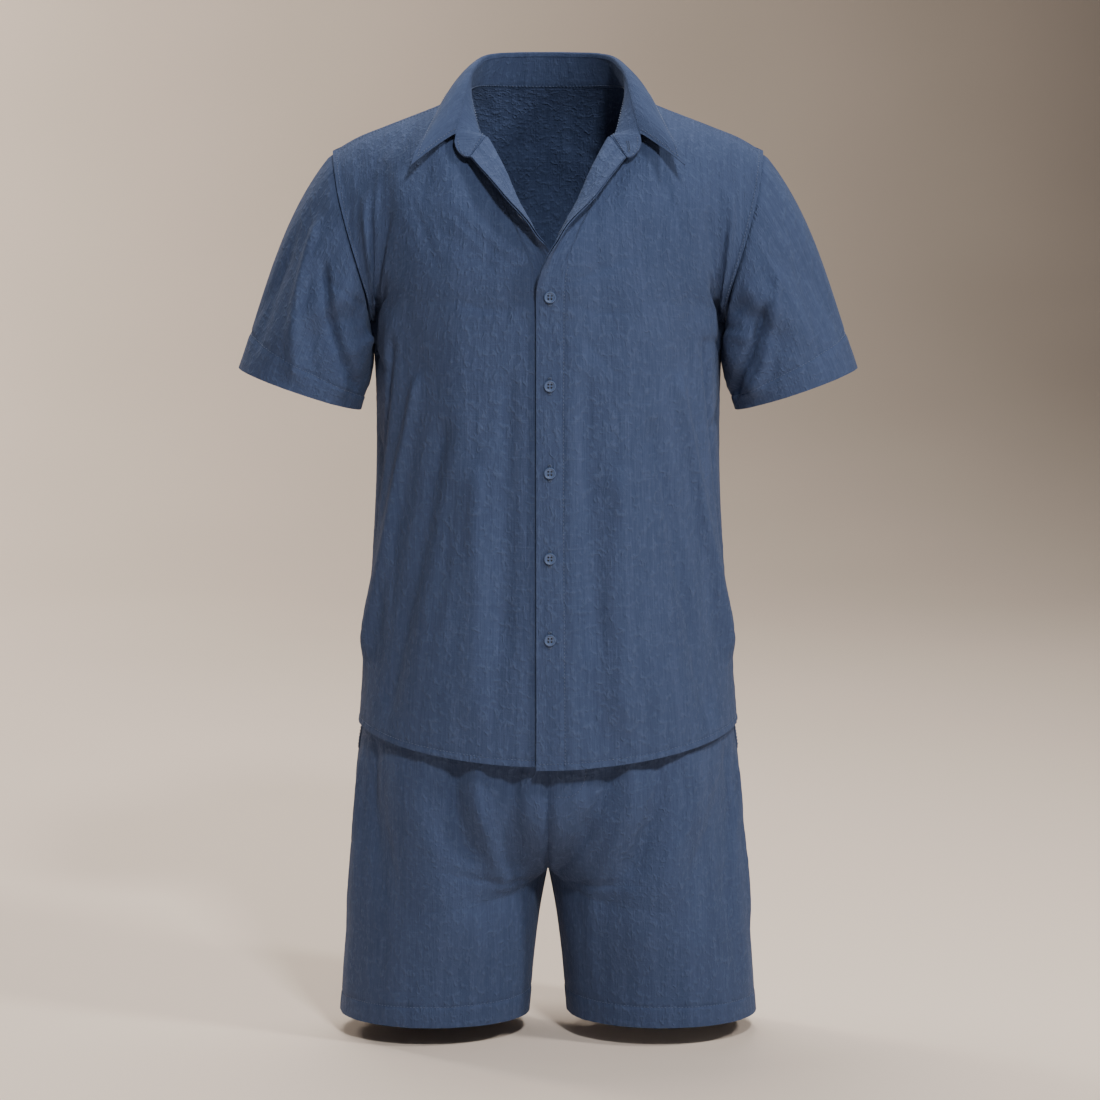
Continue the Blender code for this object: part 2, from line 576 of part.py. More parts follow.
def cloth(name, points, wall, finish, closed=False, inward=None, missing=(0, 0)):
    """A piece of cloth: its outer face as a grid of points, and its wall behind that face.

    inward may give the wall's way at each point, so that two pieces meet at one angle at a seam.
    missing is the corner of the grid that the piece doesn't have: the rows from the first
    number up, over as many columns as the second."""
    inward = -grid_normals(points, closed) if inward is None else inward
    skins = np.stack((points, points + inward * wall))
    rows, columns = points.shape[:2]
    quads = []
    for i in range(rows - 1):
        for j in range(columns if closed else columns - 1):
            if i >= missing[0] and j < missing[1]:
                continue
            k = (j + 1) % columns
            quads.append(((i, j), (i, k), (i + 1, k), (i + 1, j)))
    sides = {(a, b) for quad in quads for a, b in zip(quad, quad[1:] + quad[:1])}
    used = sorted({corner for quad in quads for corner in quad})
    mesh = bmesh.new()
    outer = {corner: mesh.verts.new(skins[0][corner]) for corner in used}
    inner = {corner: mesh.verts.new(skins[1][corner]) for corner in used}
    for quad in quads:
        mesh.faces.new([outer[corner] for corner in quad])
        mesh.faces.new([inner[corner] for corner in (quad[0], quad[3], quad[2], quad[1])])
    for a, b in sorted(sides):
        if (b, a) not in sides:
            mesh.faces.new([outer[b], outer[a], inner[a], inner[b]])
    bmesh.ops.recalc_face_normals(mesh, faces=mesh.faces)
    return place(name, mesh, finish)


def place(name, mesh, finish):
    """A named object in the set's collection, from a bmesh."""
    data = bpy.data.meshes.new(name)
    mesh.to_mesh(data)
    mesh.free()
    data.materials.append(finish)
    data.shade_smooth()
    data.set_sharp_from_angle(angle=math.radians(50))
    made = bpy.data.objects.new(name, data)
    bpy.data.collections["shirt_and_shorts"].objects.link(made)
    return made


def mirrored(points):
    """The points on the other side of the middle plane."""
    return points * np.array((-1.0, 1.0, 1.0))


def panel_rows():
    """The shares up a shirt panel at which it has grid lines."""
    lower = np.linspace(0.0, LOWER_SHARE, LOWER_STEPS + 1)
    return np.concatenate((lower, np.linspace(LOWER_SHARE, 1.0, UPPER_STEPS + 1)[1:]))


def back_columns():
    """The shares across half of the back, with a grid line where neckline and seam meet."""
    neck = np.linspace(0.0, BACK_NECK_SHARE, BACK_NECK_STEPS + 1)
    return np.concatenate((neck, np.linspace(BACK_NECK_SHARE, 1.0, SHOULDER_STEPS + 1)[1:]))


def front_columns():
    """The places across a front: below 0 for the cloth beyond its roll line."""
    return np.concatenate((STRIP_LINES, np.linspace(0.0, 1.0, FRONT_STEPS + 1)))


def side_inward(points, inward, column):
    """The wall's way at a panel's outer edge: level at the side, to the joint at the armhole."""
    side = np.sign(points[0, column, 0])
    inward[:LOWER_STEPS, column] = (-side, 0.0, 0.0)
    joint = SHOULDER_JOINT * np.array((side, 1.0, 1.0))
    inward[LOWER_STEPS:, column] = unit(joint - points[LOWER_STEPS:, column])


def shoulder_inward(points, inward, columns):
    """The wall's way at a panel's shoulder seam: down along it, towards the neck at its end."""
    for column in columns:
        inward[-1, column] = unit(np.array((0.0, 0.0, -1.0)) + inward[-1, column] * 0.3)
    neck = columns[np.argmin(np.abs(points[-1, columns, 0]))]
    inward[-1, neck] = unit(np.array((-np.sign(points[-1, neck, 0]), 0.0, -0.25)))


def front_grid(over):
    """Points of the left front and its wall's ways, with the gaps at its seams."""
    columns = front_columns()
    strip = len(STRIP_LINES)
    column, up = grid(columns, panel_rows())
    points = front_point(column, up, over)
    points[: LOWER_STEPS + 1, -1, 1] -= SEAM_GAP / 2
    points[-1, strip:, 1] -= SEAM_GAP / 2
    top = LOWER_STEPS + ROLL_STEPS + 1
    inward = -grid_normals(points, False)
    inward[:, strip:] = -grid_normals(points[:, strip:], False)
    inward[:top, : strip + 1] = -grid_normals(points[:top], False)[:, : strip + 1]
    shoulder_inward(points, inward, np.arange(strip, len(columns)))
    side_inward(points, inward, -1)
    return points, inward


def build_front(side, finish):
    """One front of the shirt. The left one laps over the right one."""
    points, inward = front_grid(over=side > 0)
    if side < 0:
        points, inward = mirrored(points), mirrored(inward)
    name = "shirt_front_left" if side > 0 else "shirt_front_right"
    missing = (LOWER_STEPS + ROLL_STEPS, len(STRIP_LINES))
    cloth(name, points, SHIRT_WALL, finish, inward=inward, missing=missing)
    return points


def on_grid(values, lines, wanted):
    """Values of a piece's grid at the wanted places between its lines, row by row."""
    rows = [
        np.stack([np.interp(wanted[i], lines, values[i, :, k]) for k in range(3)], axis=-1)
        for i in range(len(values))
    ]
    return np.array(rows)


def facing_lines(turned, lines):
    """Places of a facing's grid lines: the front's own lines, and its inner edge."""
    rows = []
    count = len(STRIP_LINES) + 2
    for width in turned:
        if width > FACING_WIDTH:
            inner_edge = FACING_WIDTH / width - 1
        else:
            inner_edge = (FACING_WIDTH - width) / FRONT_WIDTH
        kept = [line for line in lines if line < inner_edge - 0.03][: count - 1]
        spread = np.linspace(kept[-1], inner_edge, count - len(kept) + 1)[1:]
        rows.append(np.concatenate((kept, spread)))
    return np.array(rows)


def build_facing(side, finish):
    """The turned-in strip behind a front's free edge, made from the front's own points."""
    over = side > 0
    top = LOWER_STEPS + ROLL_STEPS + 1
    points, inward = (values[:top] for values in front_grid(over))
    lines = front_columns()
    along = (panel_rows()[:top] - LOWER_SHARE) / (1 - LOWER_SHARE) / ROLL_SHARE
    turned = read(ROLL, ROLL_COLUMNS, ("over_turned" if over else "under_turned",), along)
    wanted = facing_lines(turned[:, 0], lines)
    inward = unit(on_grid(inward, lines, wanted))
    gap = SEAM_GAP * (1 + ease(0.1, 0.4, along))[:, None, None]
    points = on_grid(points, lines, wanted) + inward * (SHIRT_WALL + gap)
    points[0] += (points[1] - points[0]) * 0.03
    points[-1] += (points[-2] - points[-1]) * 0.10
    if side < 0:
        points, inward = mirrored(points), mirrored(inward)
    cloth("shirt_facing_left" if over else "shirt_facing_right", points, FACING_WALL, finish, inward=inward)


def build_back(finish):
    """The shirt's back, one piece from side seam to side seam."""
    half = back_columns()
    columns = np.concatenate((half[::-1], -half[1:]))
    column, up = grid(columns, panel_rows())
    points = back_point(column, up)
    points[: LOWER_STEPS + 1, [0, -1], 1] += SEAM_GAP / 2
    shoulder = np.abs(columns) >= BACK_NECK_SHARE - 1e-9
    points[-1, shoulder, 1] += SEAM_GAP / 2
    inward = -grid_normals(points, False)
    shoulder_inward(points, inward, np.flatnonzero(shoulder & (columns > 0)))
    shoulder_inward(points, inward, np.flatnonzero(shoulder & (columns < 0)))
    side_inward(points, inward, 0)
    side_inward(points, inward, -1)
    cloth("shirt_back", points, SHIRT_WALL, finish, inward=inward)
    return points


def build_sleeve(side, finish):
    """One short sleeve, a tube from the armhole to its hem."""
    rise = np.linspace(0.0, 1.0, UPPER_STEPS + 1)
    turns = np.concatenate(((1 - rise[::-1]) / 2, (1 + rise) / 2))
    turns = np.unique(np.round(turns, 9))[:-1]
    around, down = grid(turns, np.linspace(0.0, 1.0, SLEEVE_STEPS + 1))
    points = sleeve_point(around, down)
    points[0, :, 0] += SEAM_GAP
    inward = grid_normals(points, True)
    inward[0] = unit(SHOULDER_JOINT - points[0])
    if side < 0:
        points, inward = mirrored(points), mirrored(inward)
    cloth("shirt_sleeve_left" if side > 0 else "shirt_sleeve_right", points, SHIRT_WALL, finish,
          closed=True, inward=inward)


def neckline_of_front(points):
    """A front's neckline from its free corner, and the way out of its cloth at each point."""
    strip, top = len(STRIP_LINES), LOWER_STEPS + ROLL_STEPS
    line = np.concatenate((points[top, :strip], points[top:, strip]))
    up = unit(points[top, : strip + 1] - points[top - 1, : strip + 1])
    across = unit(points[top:, strip] - points[top:, strip + 1])
    corner = unit(up[-1:] + across[:1])
    return line, np.concatenate((up[:-1], corner, across[1:]))


def seam_round_neck(left, right, back):
    """The neckline from the left front's free corner round the back to the right front's,
    and the way out of the cloth at each of its points."""
    inner = slice(SHOULDER_STEPS + 1, -SHOULDER_STEPS - 1)
    left, right = neckline_of_front(left), neckline_of_front(right)
    behind = back[-1, inner], unit(back[-1, inner] - back[-2, inner])
    return [np.concatenate((left[k], behind[k], right[k][::-1])) for k in (0, 1)]


def build_collar(seam, out, finish):
    """The stand, a band on the neckline with rounded free ends, and the leaf on its top edge."""
    steps = np.linalg.norm(np.diff(seam, axis=0), axis=1)
    walked = np.concatenate(((0.0,), np.cumsum(steps)))
    along = walked / walked[-1] * 2 - 1
    side = np.where(along < 0, 1.0, -1.0)
    values = read(COLLAR, COLLAR_COLUMNS, COLLAR_COLUMNS[1:], np.abs(along))
    fold = values[:, :3] * np.stack((side, 1 + 0 * side, 1 + 0 * side), axis=-1)

    tangent = unit(np.gradient(seam, axis=0))
    out = unit(out - tangent * (out * tangent).sum(-1, keepdims=True))
    foot = seam + out * STAND_GAP
    rounding = np.clip((np.abs(along) - TAB_START) / (1 - TAB_START), 0.0, 1.0)
    height = np.maximum(np.sqrt(1 - rounding**2), TAB_END_HEIGHT)[:, None]
    rows = [foot + (fold - foot) * height * up for up in np.linspace(0.0, 1.0, STAND_STEPS + 1)]
    stand = np.array(rows)
    inward = -grid_normals(stand, False)
    inward[0] = unit(inward[0] - out * np.minimum((out * inward[0]).sum(-1, keepdims=True), 0.0))
    cloth("shirt_collar_stand", stand, STAND_WALL, finish, inward=inward)
    at_button = np.argmin(np.abs(along - COLLAR_BUTTON_ALONG))
    button_spot = (stand[1] + stand[2])[at_button] / 2, -inward[1][at_button]

    under = np.abs(along) <= LEAF_END
    at, side, inward = along[under], side[under], inward[-1][under]
    way = unit(stand[-1] - stand[-2])[under]
    tip = read(COLLAR, COLLAR_COLUMNS, COLLAR_COLUMNS[4:], np.abs(at) / np.abs(at).max())
    tip = tip * np.stack((side, 1 + 0 * side, 1 + 0 * side), axis=-1)
    start = stand[-1][under] + inward * STAND_WALL + way * SEAM_GAP
    flat = ease(0.55, 1.0, np.abs(at) / np.abs(at).max())[:, None]
    outward = -inward * LEAF_FULLNESS * (1 - flat)
    crest = start + way * LEAF_RISE * (1 - 0.75 * flat) + outward * 0.4
    fall = start + (tip - start) * (0.42 + 0.10 * flat) + outward
    fall = fall + way * LEAF_RISE * (1.25 - 1.05 * flat)
    steps = np.linspace(0.0, 1.0, LEAF_STEPS + 1) ** 1.2
    rows = [bezier(start, crest, fall, tip, np.full(len(at), step)) for step in steps]
    leaf = np.array(rows)
    wall_way = -grid_normals(leaf, False)
    turn = (wall_way * -inward).sum(-1, keepdims=True)
    wall_way = np.where(turn[:1] < 0, -wall_way, wall_way)
    wall_way[0] = -inward
    cloth("shirt_collar_leaf", leaf, LEAF_WALL, finish, inward=wall_way)
    return button_spot


def shorts_grid(half):
    """Points of a left shorts panel, gaps at its seams included."""
    rows = LEG_STEPS + FORK_STEPS + HIP_STEPS
    across, up = grid(np.linspace(0.0, 1.0, SHORTS_ACROSS + 1), np.linspace(0.0, 1.0, rows + 1))
    points = shorts_point(across, up, half)
    way = -1.0 if half == "front" else 1.0
    points[:, -1, 1] += way * SEAM_GAP / 2
    points[: LEG_STEPS + 1, 0, 1] += way * SEAM_GAP / 2
    points[LEG_STEPS:, 0, 0] += SEAM_GAP / 2
    return points


def shorts_inward(points, normals):
    """The wall's way of a shorts panel: level at the side seam and inseam, back at the centre."""
    inward = normals.copy()
    inward[:, -1] = (-1.0, 0.0, 0.0)
    inward[: LEG_STEPS + 1, 0] = (1.0, 0.0, 0.0)
    return inward


def build_shorts_panel(side, half, finish):
    """One of the four panels of the shorts."""
    points = shorts_grid(half)
    if half == "front":
        inward = shorts_inward(points, -grid_normals(points, False))
    else:
        inward = shorts_inward(points, grid_normals(points, False))
    if side < 0:
        points, inward = mirrored(points), mirrored(inward)
    cloth(f"shorts_{half}_{'left' if side > 0 else 'right'}", points, SHORTS_WALL, finish, inward=inward)


def build_waistband(finish):
    """The elastic waistband, a ring that sits on the gathered top edges of the panels."""
    quarter = np.linspace(0.0, math.pi / 2, SHORTS_ACROSS + 1)
    rows = []
    for z in np.linspace(BAND_BOTTOM_Z + SEAM_GAP, BAND_TOP_Z, 3):
        ring = []
        for side, half in ((1, "front"), (1, "back"), (-1, "back"), (-1, "front")):
            width, depth = read(HIPS, HIP_COLUMNS, ("half_width", half), z)
            angle = quarter if side * (1 if half == "front" else -1) > 0 else quarter[::-1]
            fuller = 1 + FULLNESS * np.sin(2 * angle) ** 2
            x = side * width * np.sin(angle) * fuller
            y = (-1 if half == "front" else 1) * depth * np.cos(angle) * fuller
            ring.append(np.stack((x, y, np.full_like(x, z)), axis=-1)[:-1])
        rows.append(np.concatenate(ring))
    cloth("shorts_waistband", np.array(rows), BAND_WALL, finish, closed=True)


def piece_on_panel(name, shares, levels, out, finish, side=1):
    """A flat piece that follows a shorts front: shares across it at each of the levels, from
    the bottom, moved out by out. Its own wall lies inwards."""
    points = shorts_grid("front")
    inward = shorts_inward(points, -grid_normals(points, False))
    lines = np.linspace(0.0, 1.0, SHORTS_ACROSS + 1)
    rows = []
    for share, level in zip(shares, levels):
        wanted = np.tile(share, (len(points), 1))
        columns = on_grid(points, lines, wanted)
        ways = on_grid(inward, lines, wanted)
        row = []
        for j in range(len(share)):
            z = columns[:, j, 2]
            place_on = [np.interp(level[j], z, columns[:, j, k]) for k in range(3)]
            way = [np.interp(level[j], z, ways[:, j, k]) for k in range(3)]
            row.append((place_on, way))
        rows.append(row)
    rows = np.array(rows)
    inward = unit(rows[:, :, 1])
    points = rows[:, :, 0] - inward * out
    if side < 0:
        points, inward = mirrored(points), mirrored(inward)
    cloth(name, points, FACING_WALL, finish, inward=inward)


def build_fly(finish):
    """The fly's facing behind the left front, with its curved foot."""
    across = np.linspace(0.0, 1.0, 5)
    shares = FLY_INSET + across * FLY_WIDTH / SHORTS_WIDTH
    foot = FLY_BOTTOM_Z + FLY_CURVE * (1 - np.sqrt(1 - across**3 * 0.98))
    top = BAND_BOTTOM_Z - TOP_INSET
    levels = [foot + (top - foot) * up for up in np.linspace(0.0, 1.0, 8)]
    piece_on_panel("shorts_fly_facing", [shares] * 8, levels, -SHORTS_WALL - 2 * SEAM_GAP, finish)


def build_pocket_edge(side, finish):
    """The bound edge of a side pocket, from the waistband down to the side seam."""
    along = np.linspace(0.0, 1.0, 9)
    outer = POCKET_LOW_SHARE - POCKET_TOP_INSET / SHORTS_WIDTH * along**1.5
    inner = outer - POCKET_WIDTH / SHORTS_WIDTH
    shares = np.stack((inner, (inner + outer) / 2, outer), axis=-1)
    z = POCKET_LOW_Z + (BAND_BOTTOM_Z - TOP_INSET - POCKET_LOW_Z) * along
    name = f"shorts_pocket_edge_{'left' if side > 0 else 'right'}"
    piece_on_panel(name, shares, np.repeat(z[:, None], 3, axis=1), 2 * SEAM_GAP + FACING_WALL, finish, side)


def button_mesh():
    """A round button with a raised rim and four holes, its back on z = 0."""
    profile = (
        (0.0, BUTTON_HEIGHT - BUTTON_DISH),
        (BUTTON_RADIUS - BUTTON_RIM - BUTTON_BEVEL, BUTTON_HEIGHT - BUTTON_DISH),
        (BUTTON_RADIUS - BUTTON_RIM, BUTTON_HEIGHT),
        (BUTTON_RADIUS - BUTTON_BEVEL, BUTTON_HEIGHT),
        (BUTTON_RADIUS, BUTTON_HEIGHT - BUTTON_BEVEL),
        (BUTTON_RADIUS - BUTTON_BEVEL, 0.0),
        (0.0, 0.0),
    )
    mesh = bmesh.new()
    points = [mesh.verts.new((x, 0.0, z)) for x, z in profile]
    edges = [mesh.edges.new(pair) for pair in zip(points, points[1:])]
    bmesh.ops.spin(mesh, geom=points + edges, axis=(0, 0, 1), cent=(0, 0, 0), steps=12,
                   angle=2 * math.pi, use_merge=True)
    bmesh.ops.remove_doubles(mesh, verts=mesh.verts, dist=1e-6)
    bmesh.ops.recalc_face_normals(mesh, faces=mesh.faces)
    return mesh


def hole_cutter():
    """Four round pins in a square, which cut the holes of a button."""
    mesh = bmesh.new()
    for i in range(4):
        angle = math.pi / 4 + i * math.pi / 2
        made = bmesh.ops.create_cone(mesh, cap_ends=True, segments=4, radius1=BUTTON_HOLE_RADIUS,
                                     radius2=BUTTON_HOLE_RADIUS, depth=4 * BUTTON_HEIGHT)
        reach = BUTTON_HOLE_SPACING / math.sqrt(2)
        at = (reach * math.cos(angle), reach * math.sin(angle), 0.0)
        bmesh.ops.translate(mesh, verts=made["verts"], vec=at)
    data = bpy.data.meshes.new("button_hole_pins")
    mesh.to_mesh(data)
    mesh.free()
    cutter = bpy.data.objects.new("button_hole_pins", data)
    bpy.data.collections["cutters"].objects.link(cutter)
    cutter.hide_render = True
    cutter.display_type = "WIRE"
    return cutter


def button_data(finish):
    """The mesh that all buttons share, with its holes cut."""
    blank = place("button_blank", button_mesh(), finish)
    cut = blank.modifiers.new("holes", "BOOLEAN")
    cut.operation = "DIFFERENCE"
    cut.object = hole_cutter()
    graph = bpy.context.evaluated_depsgraph_get()
    data = bpy.data.meshes.new_from_object(blank.evaluated_get(graph))
    bpy.data.objects.remove(blank)
    return data


def build_button(name, data, centre, normal):
    """A button that stands a gap above the cloth at centre, facing along normal."""
    made = bpy.data.objects.new(name, data)
    bpy.data.collections["shirt_and_shorts"].objects.link(made)
    up = unit(np.asarray(normal, float))
    side = unit(np.cross((0.0, 0.0, 1.0), up))
    top = np.cross(up, side)
    at = np.asarray(centre, float) + up * BUTTON_GAP
    for k in range(3):
        for axis, column in enumerate((side, top, up, at)):
            made.matrix_world[k][axis] = column[k]
    return made


def front_spot(column, up, over):
    """Point and outward normal on a left front."""
    column, up = np.array([[column]]), np.array([[up]])
    normal = normals_of(lambda a, b: front_point(a, b, over), column, up)
    return front_point(column, up, over)[0, 0], normal[0, 0]


def build_buttons(collar_spot, finish):
    """Five fastened buttons, the open one on the right front and the collar's."""
    data = button_data(finish)
    for number, drop in enumerate(BUTTON_DROPS, start=1):
        up = LOWER_SHARE * (1 - drop / (CHEST_FRONT_Z - HEM_CENTRE_Z))
        centre, _ = front_spot(BUTTON_COLUMN, up, True)
        build_button(f"shirt_button_{number}", data, centre, (0.0, -1.0, 0.0))
    up = LOWER_SHARE + OPEN_BUTTON_ALONG * ROLL_SHARE * (1 - LOWER_SHARE)
    centre, normal = front_spot(-OPEN_BUTTON_TURN, up, False)
    build_button("shirt_button_open", data, mirrored(centre), mirrored(normal))
    build_button("shirt_button_collar", data, *collar_spot)


def main():
    """Builds the whole set."""
    for old in list(bpy.data.objects):
        bpy.data.objects.remove(old)
    for name in ("shirt_and_shorts", "cutters"):
        bpy.context.scene.collection.children.link(bpy.data.collections.new(name))
    cloth_finish = material("blue_linen", CLOTH_COLOUR, 0.9)
    collar_finish = material("blue_linen_interlined", STAND_COLOUR, 0.88)
    button_finish = material("blue_button", BUTTON_COLOUR, 0.4)

    left = build_front(1, cloth_finish)
    right = build_front(-1, cloth_finish)
    back = build_back(cloth_finish)
    for side in (1, -1):
        build_facing(side, cloth_finish)
        build_sleeve(side, cloth_finish)
        build_pocket_edge(side, cloth_finish)
        for half in ("front", "back"):
            build_shorts_panel(side, half, cloth_finish)
    collar_spot = build_collar(*seam_round_neck(left, right, back), collar_finish)
    build_waistband(cloth_finish)
    build_fly(cloth_finish)
    build_buttons(collar_spot, button_finish)


main()
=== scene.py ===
"""Blue linen shirt and shorts, hollow and in worn form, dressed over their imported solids.

Every cloth piece is a thin shell on the form of its solid, worked out from the same tables of
sizes, with creases, seams and crinkle added along its own normals. Metres, +Z up, front on -Y.
"""

from __future__ import annotations

import logging
import math
from dataclasses import dataclass, field
from enum import Enum
from typing import Callable, NamedTuple, Sequence

import bpy
import numpy as np
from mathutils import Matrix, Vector


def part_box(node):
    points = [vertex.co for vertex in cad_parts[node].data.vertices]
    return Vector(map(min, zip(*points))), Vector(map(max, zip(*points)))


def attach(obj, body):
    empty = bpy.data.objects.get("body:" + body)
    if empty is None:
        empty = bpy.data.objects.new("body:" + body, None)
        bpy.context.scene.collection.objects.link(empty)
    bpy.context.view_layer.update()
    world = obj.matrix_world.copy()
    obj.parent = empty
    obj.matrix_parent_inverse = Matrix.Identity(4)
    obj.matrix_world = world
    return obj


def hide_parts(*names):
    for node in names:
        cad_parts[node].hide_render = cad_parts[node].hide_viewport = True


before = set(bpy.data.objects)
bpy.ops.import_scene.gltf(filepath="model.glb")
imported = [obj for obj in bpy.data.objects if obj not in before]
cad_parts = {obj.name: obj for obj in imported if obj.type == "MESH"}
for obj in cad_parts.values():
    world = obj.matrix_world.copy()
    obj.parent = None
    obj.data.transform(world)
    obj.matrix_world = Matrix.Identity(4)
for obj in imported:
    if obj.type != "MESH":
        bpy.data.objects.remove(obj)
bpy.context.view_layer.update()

log = logging.getLogger("linen_set")
Array = np.ndarray
Colour = tuple[float, float, float, float]
Triple = tuple[float, float, float]
Size = tuple[float, float]
FLIP = np.array((-1.0, 1.0, 1.0))


class Side(Enum):
    """The wearer's left is +X."""

    LEFT = 1.0
    RIGHT = -1.0

    @property
    def word(self) -> str:
        """The side's name in lower case."""
        return self.name.lower()


class Half(Enum):
    """The front lies on -Y, the back on +Y."""

    FRONT = -1.0
    BACK = 1.0

    @property
    def word(self) -> str:
        """The half's name in lower case."""
        return self.name.lower()


class Held(Enum):
    """How a sheet of cloth is held."""

    HUNG = "hung"
    GATHERED = "gathered"
    FOLDED = "folded"


def unit(vectors: Array) -> Array:
    """The vectors at length 1."""
    return vectors / np.maximum(np.linalg.norm(vectors, axis=-1, keepdims=True), 1e-12)


def ease(low: float, high: float, value: Array) -> Array:
    """0 below low, 1 above high, and a smooth step between them."""
    share = np.clip((value - low) / (high - low), 0.0, 1.0)
    return share * share * (3.0 - 2.0 * share)


def bump(centre: float, reach: float, value: Array) -> Array:
    """A soft ridge of height 1 at centre."""
    return np.exp(-(((value - centre) / reach) ** 2))


def bezier(a: Array, b: Array, c: Array, d: Array, t: Array) -> Array:
    """Cubic curve with the control points a, b, c and d."""
    t = t[..., None]
    return (1 - t) ** 3 * a + 3 * t * (1 - t) ** 2 * b + 3 * t * t * (1 - t) * c + t**3 * d


def puckers(along: Array, short: float, long: float, shift: float = 0.0) -> Array:
    """Small waves beside a seam, from -1 to 1; short and long are their two lengths in metres."""
    return np.sin(along * 2 * math.pi / short) * np.sin(along * 2 * math.pi / long + shift)


def grid_normals(points: Array, closed: bool = False) -> Array:
    """Unit normals of a grid of points, by their neighbours; closed where the last column meets the first."""
    wide = np.roll(points, -1, axis=1) - np.roll(points, 1, axis=1) if closed else np.gradient(points, axis=1)
    return unit(np.cross(wide, np.gradient(points, axis=0)))


def mesh_of(name: str, places: Sequence, faces: Sequence) -> bpy.types.Mesh:
    """A mesh from points and faces.

    Args:
        name: its name.
        places: its points.
        faces: the point numbers of each face.

    Returns:
        The mesh.
    """
    mesh = bpy.data.meshes.new(name)
    mesh.from_pydata(places, [], faces)
    return mesh


def placed(name: str, data: bpy.types.ID) -> bpy.types.Object:
    """A new object in the scene.

    Args:
        name: its name.
        data: its mesh, lamp or camera.

    Returns:
        The object.
    """
    made = bpy.data.objects.new(name, data)
    bpy.context.scene.collection.objects.link(made)
    return made


def normals_of(surface: Callable[[Array, Array], Array], across: Array, up: Array) -> Array:
    """Unit normals of a surface function.

    Args:
        surface: gives points for shares across and up.
        across: shares across the piece.
        up: shares up the piece.

    Returns:
        One normal for each place.
    """
    step = 1e-3
    a = surface(across + step, up) - surface(across - step, up)
    b = surface(across, up + step) - surface(across, up - step)
    return unit(np.cross(a, b))


def spaced(start: float, end: float, length: float, spacing: float, extra: Sequence[float] = ()) -> Array:
    """Grid lines from start to end, about spacing apart on a piece of that length.

    Args:
        start: the first line's share.
        end: the last line's share.
        length: metres from start to end.
        spacing: metres between lines.
        extra: shares that get a line of their own.

    Returns:
        The lines' shares in order.
    """
    lines = np.linspace(start, end, max(2, round(length / spacing)) + 1)
    share = spacing / length * abs(end - start)
    for place in extra:
        if start < place < end:
            lines = lines[np.abs(lines - place) > 0.22 * share]
            lines = np.append(lines, place)
    return np.sort(lines)


def refined(points: Array, factor: int, axis: int) -> Array:
    """The grid with more lines, on a smooth curve through its own.

    Args:
        points: the grid.
        factor: how many steps take the place of one.
        axis: 0 for rows, 1 for columns.

    Returns:
        The finer grid.
    """
    values = np.moveaxis(points, axis, 0)
    slopes = np.gradient(values, axis=0)
    at = np.linspace(0.0, len(values) - 1, (len(values) - 1) * factor + 1)
    i = np.clip(at.astype(int), 0, len(values) - 2)
    u = (at - i).reshape((-1,) + (1,) * (values.ndim - 1))
    start = (1 + 2 * u) * (1 - u) ** 2 * values[i] + u * (1 - u) ** 2 * slopes[i]
    end = u * u * (3 - 2 * u) * values[i + 1] + u * u * (u - 1) * slopes[i + 1]
    return np.moveaxis(start + end, 0, axis)


@dataclass(frozen=True)
class Table:
    """Sizes in named columns, read on a smooth curve through the rows; the first column is the key."""

    columns: tuple[str, ...]
    rows: tuple[tuple[float, ...], ...]

    def at(self, names: Sequence[str], where: Array) -> Array:
        """The named columns at the places where.

        Args:
            names: the wanted columns.
            where: values of the key.

        Returns:
            An array with one more axis, in the order of names.
        """
        rows = np.array(self.rows, float)
        keys = rows[:, 0]
        values = rows[:, [self.columns.index(name) for name in names]]
        slopes = np.gradient(values, keys, axis=0)
        where = np.clip(np.asarray(where, float), keys[0], keys[-1])
        i = np.clip(np.searchsorted(keys, where, side="right") - 1, 0, len(keys) - 2)
        span = (keys[i + 1] - keys[i])[..., None]
        u = (where - keys[i])[..., None] / span
        start = (1 + 2 * u) * (1 - u) ** 2 * values[i] + u * (1 - u) ** 2 * span * slopes[i]
        end = u * u * (3 - 2 * u) * values[i + 1] + u * u * (u - 1) * span * slopes[i + 1]
        return start + end

    def one(self, name: str, where: Array) -> Array:
        """One column at the places where."""
        return self.at((name,), where)[..., 0]


class Fold(NamedTuple):
    """A soft ridge (+) or trough (-) between two places of a piece, in shares of it; metres."""

    from_across: float
    from_up: float
    to_across: float
    to_up: float
    width: float
    depth: float


def folds(*rows: tuple[float, ...]) -> tuple[Fold, ...]:
    """The folds of these rows, each with the fields of Fold in their order."""
    return tuple(Fold(*row) for row in rows)


def fold_height(across: Array, up: Array, folds: Sequence[Fold], size: Size) -> Array:
    """How far folds lift the cloth, each soft and fading at both ends.

    Args:
        across: shares across the piece.
        up: shares up the piece.
        folds: the folds.
        size: the piece's width and height in metres.

    Returns:
        The lift in metres at each place.
    """
    total = np.zeros(np.broadcast(across, up).shape)
    for fold in folds:
        start = np.array((fold.from_across * size[0], fold.from_up * size[1]))
        way = np.array((fold.to_across * size[0], fold.to_up * size[1])) - start
        length = np.hypot(*way)
        way = way / length
        x = across * size[0] - start[0]
        y = up * size[1] - start[1]
        along = x * way[0] + y * way[1]
        aside = x * way[1] - y * way[0]
        spread = fold.width * (0.75 + 0.5 * np.clip(along / length, 0, 1))
        fade = ease(-fold.width, 2 * fold.width, along)
        fade = fade * (1 - ease(length - 3 * fold.width, length + fold.width, along))
        total = total + fold.depth * np.exp(-((aside / spread) ** 2)) * fade
    return total


